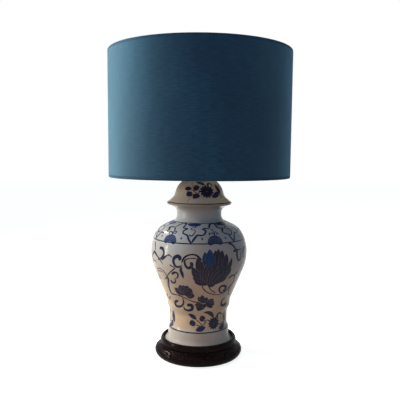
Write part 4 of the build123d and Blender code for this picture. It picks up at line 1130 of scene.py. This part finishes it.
class JARLAMP_OT_lampholder(bpy.types.Operator):
    """Turns the lampholder's threaded sleeve and its knurled shade rings"""

    bl_idname = "jar_lamp.lampholder"
    bl_label = "Lampholder"

    def execute(self, context):
        brass = metal("satin_brass", "b8924e", "8f6f3a", 0.22)
        low, high, pitch = 434.0, 464.6, 1.5
        rows = [low + (high - low) * i / 102 for i in range(103)]
        section = [(18.9, 428.43), (18.9, 432.43), (20, 432.43), (20, 433.6)] + [(20, z) for z in rows]
        section += [(19.6, 465.43), (17.2, 465.43), (17.2, 428.43)]
        sleeve = turned("threaded_sleeve", section, 96, 50)

        def thread(azimuth, radius, z):
            if radius > 19.9 and low <= z <= high:
                turn = (z / pitch - azimuth / 360) % 1
                run_out = min(1.0, (z - low) / 1.5, (high - z) / 1.0)
                radius -= 0.55 * run_out * (1 - abs(2 * turn - 1))
            return azimuth, radius, z

        reshape(sleeve, thread)
        fit(sleeve, "lamp", "brass", brass, "holder_sleeve")
        for name, face, grows, body, node in (
            ("knurled_lower_ring", 445.13, -1, "lamp", "lower_shade_ring"),
            ("knurled_upper_ring", 447.73, 1, "shade_ring", "upper_shade_ring"),
        ):
            section = [(20.15, face), (28, face), (28, face + grows * 1.4), (27.6, face + grows * 1.8),
                       (24, face + grows * 1.8)] + [(24, face + grows * (2.2 + 0.6 * n)) for n in range(8)]
            section += [(23.6, face + grows * 6.8), (20.6, face + grows * 6.8), (20.15, face + grows * 6.4)]
            ring = turned(name, section, 288, 50)
            edge = sorted((face + grows * 2.5, face + grows * 6.5))

            def knurl(azimuth, radius, z, edge=edge):
                if 23.9 < radius < 24.1 and edge[0] <= z <= edge[1]:
                    radius -= 0.4 * abs(sin(radians(azimuth * 36)))
                return azimuth, radius, z

            reshape(ring, knurl)
            fit(ring, body, "brass", brass, node)
        return {"FINISHED"}


class JARLAMP_OT_bulb(bpy.types.Operator):
    """Rolls the thread of the bulb's screw cap"""

    bl_idname = "jar_lamp.bulb"
    bl_label = "Bulb"

    def execute(self, context):
        foot, top, pitch = 444.13, 464.13, 3.6
        rows = [foot + 1.0 + (top - foot - 1.0) * i / 60 for i in range(61)]
        section = [(0, foot), (11.6, foot), (12.6, foot + 0.3)] + [(13.1, z) for z in rows]
        section += [(12.6, top)] + [(12.6, z) for z in rows[::-6]] + [(12.2, foot + 0.6), (0, foot + 0.6)]
        cap = turned("rolled_screw_cap", section, 96, 60, closed=False)

        def thread(azimuth, radius, z):
            if radius > 12.55 and foot + 0.9 < z < top - 0.05:
                turn = 2 * pi * ((z - foot) / pitch - azimuth / 360)
                run_out = min(1.0, (z - foot) / 2.5, (top - z) / 4.0)
                radius -= 0.42 * run_out * (1 - sin(turn))
            return azimuth, radius, z

        reshape(cap, thread)
        aluminium = metal("rolled_aluminium", "b9babb", "989a9c", 0.28)
        fit(cap, "bulb", "bulb_cap_metal", aluminium, "bulb_cap")
        return {"FINISHED"}


class JARLAMP_OT_finishes(bpy.types.Operator):
    """Gives every part that stays as it was drawn its own material"""

    bl_idname = "jar_lamp.finishes"
    bl_label = "Finishes of the fittings"

    def execute(self, context):
        brass = bpy.data.materials["satin_brass"]
        zinc = metal("zinc_plated_steel", "a9abab", "85878a", 0.3)
        rubber = moulded("grey_rubber", "2b2a29", "3a3836", 0.75, 0.9, 0.03)
        finishes = {
            brass: ("vase_cap", "neck_tube", "check_nut", "holder_cap", "terminal_screws", "screw_shell",
                    "centre_contact", "bulb_contact"),
            zinc: ("base_nut", "base_washer", "lamp_rod", "holder_grub_screw"),
            rubber: ("jar_gasket", "lid_gasket"),
            moulded("dark_phenolic", "251d19", "2f2621", 0.35): ("switch_bar", "cord_bush"),
            moulded("glazed_white_insert", "e4dfd2", "d4cdbd", 0.22, 2.0, 0.01, Coat_Weight=0.6):
                ("holder_insert",),
            moulded("white_bulb_plastic", "e6e3dc", "dad6cd", 0.36): ("bulb_housing",),
            moulded("black_vitrite", "17151a", "241f26", 0.16, 3.0, 0.05): ("bulb_insulator",),
            opal_diffuser(): ("bulb_dome",),
            diode_board(): ("led_board",),
            painted_wire(): ("shade_spider", "shade_top_wire", "shade_bottom_wire"),
        }
        for material, names in finishes.items():
            for name in names:
                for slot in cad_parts[name].material_slots:
                    slot.material = material
        return {"FINISHED"}


class JARLAMP_PT_sidebar(bpy.types.Panel):
    """The lamp's settings and steps, in the 3D view's sidebar"""

    bl_idname = "JARLAMP_PT_sidebar"
    bl_label = "Ginger Jar Lamp"
    bl_space_type = "VIEW_3D"
    bl_region_type = "UI"
    bl_category = "Jar Lamp"

    def draw(self, context):
        for name in JarLampLook.__annotations__:
            self.layout.prop(context.scene.jar_lamp, name)
        for step in STEPS:
            self.layout.operator(step.bl_idname)


STEPS = (JARLAMP_OT_stage, JARLAMP_OT_porcelain, JARLAMP_OT_painting, JARLAMP_OT_stand, JARLAMP_OT_shade,
         JARLAMP_OT_lampholder, JARLAMP_OT_bulb, JARLAMP_OT_finishes)
CLASSES = (JarLampLook, *STEPS, JARLAMP_PT_sidebar)


def register():
    for one in CLASSES:
        bpy.utils.register_class(one)
    bpy.types.Scene.jar_lamp = PointerProperty(type=JarLampLook)


def unregister():
    del bpy.types.Scene.jar_lamp
    for one in reversed(CLASSES):
        bpy.utils.unregister_class(one)


def main():
    register()
    bpy.ops.jar_lamp.stage()
    bpy.ops.jar_lamp.porcelain()
    bpy.ops.jar_lamp.painting()
    bpy.ops.jar_lamp.stand()
    bpy.ops.jar_lamp.shade()
    bpy.ops.jar_lamp.lampholder()
    bpy.ops.jar_lamp.bulb()
    bpy.ops.jar_lamp.finishes()


if __name__ == "__main__":
    main()
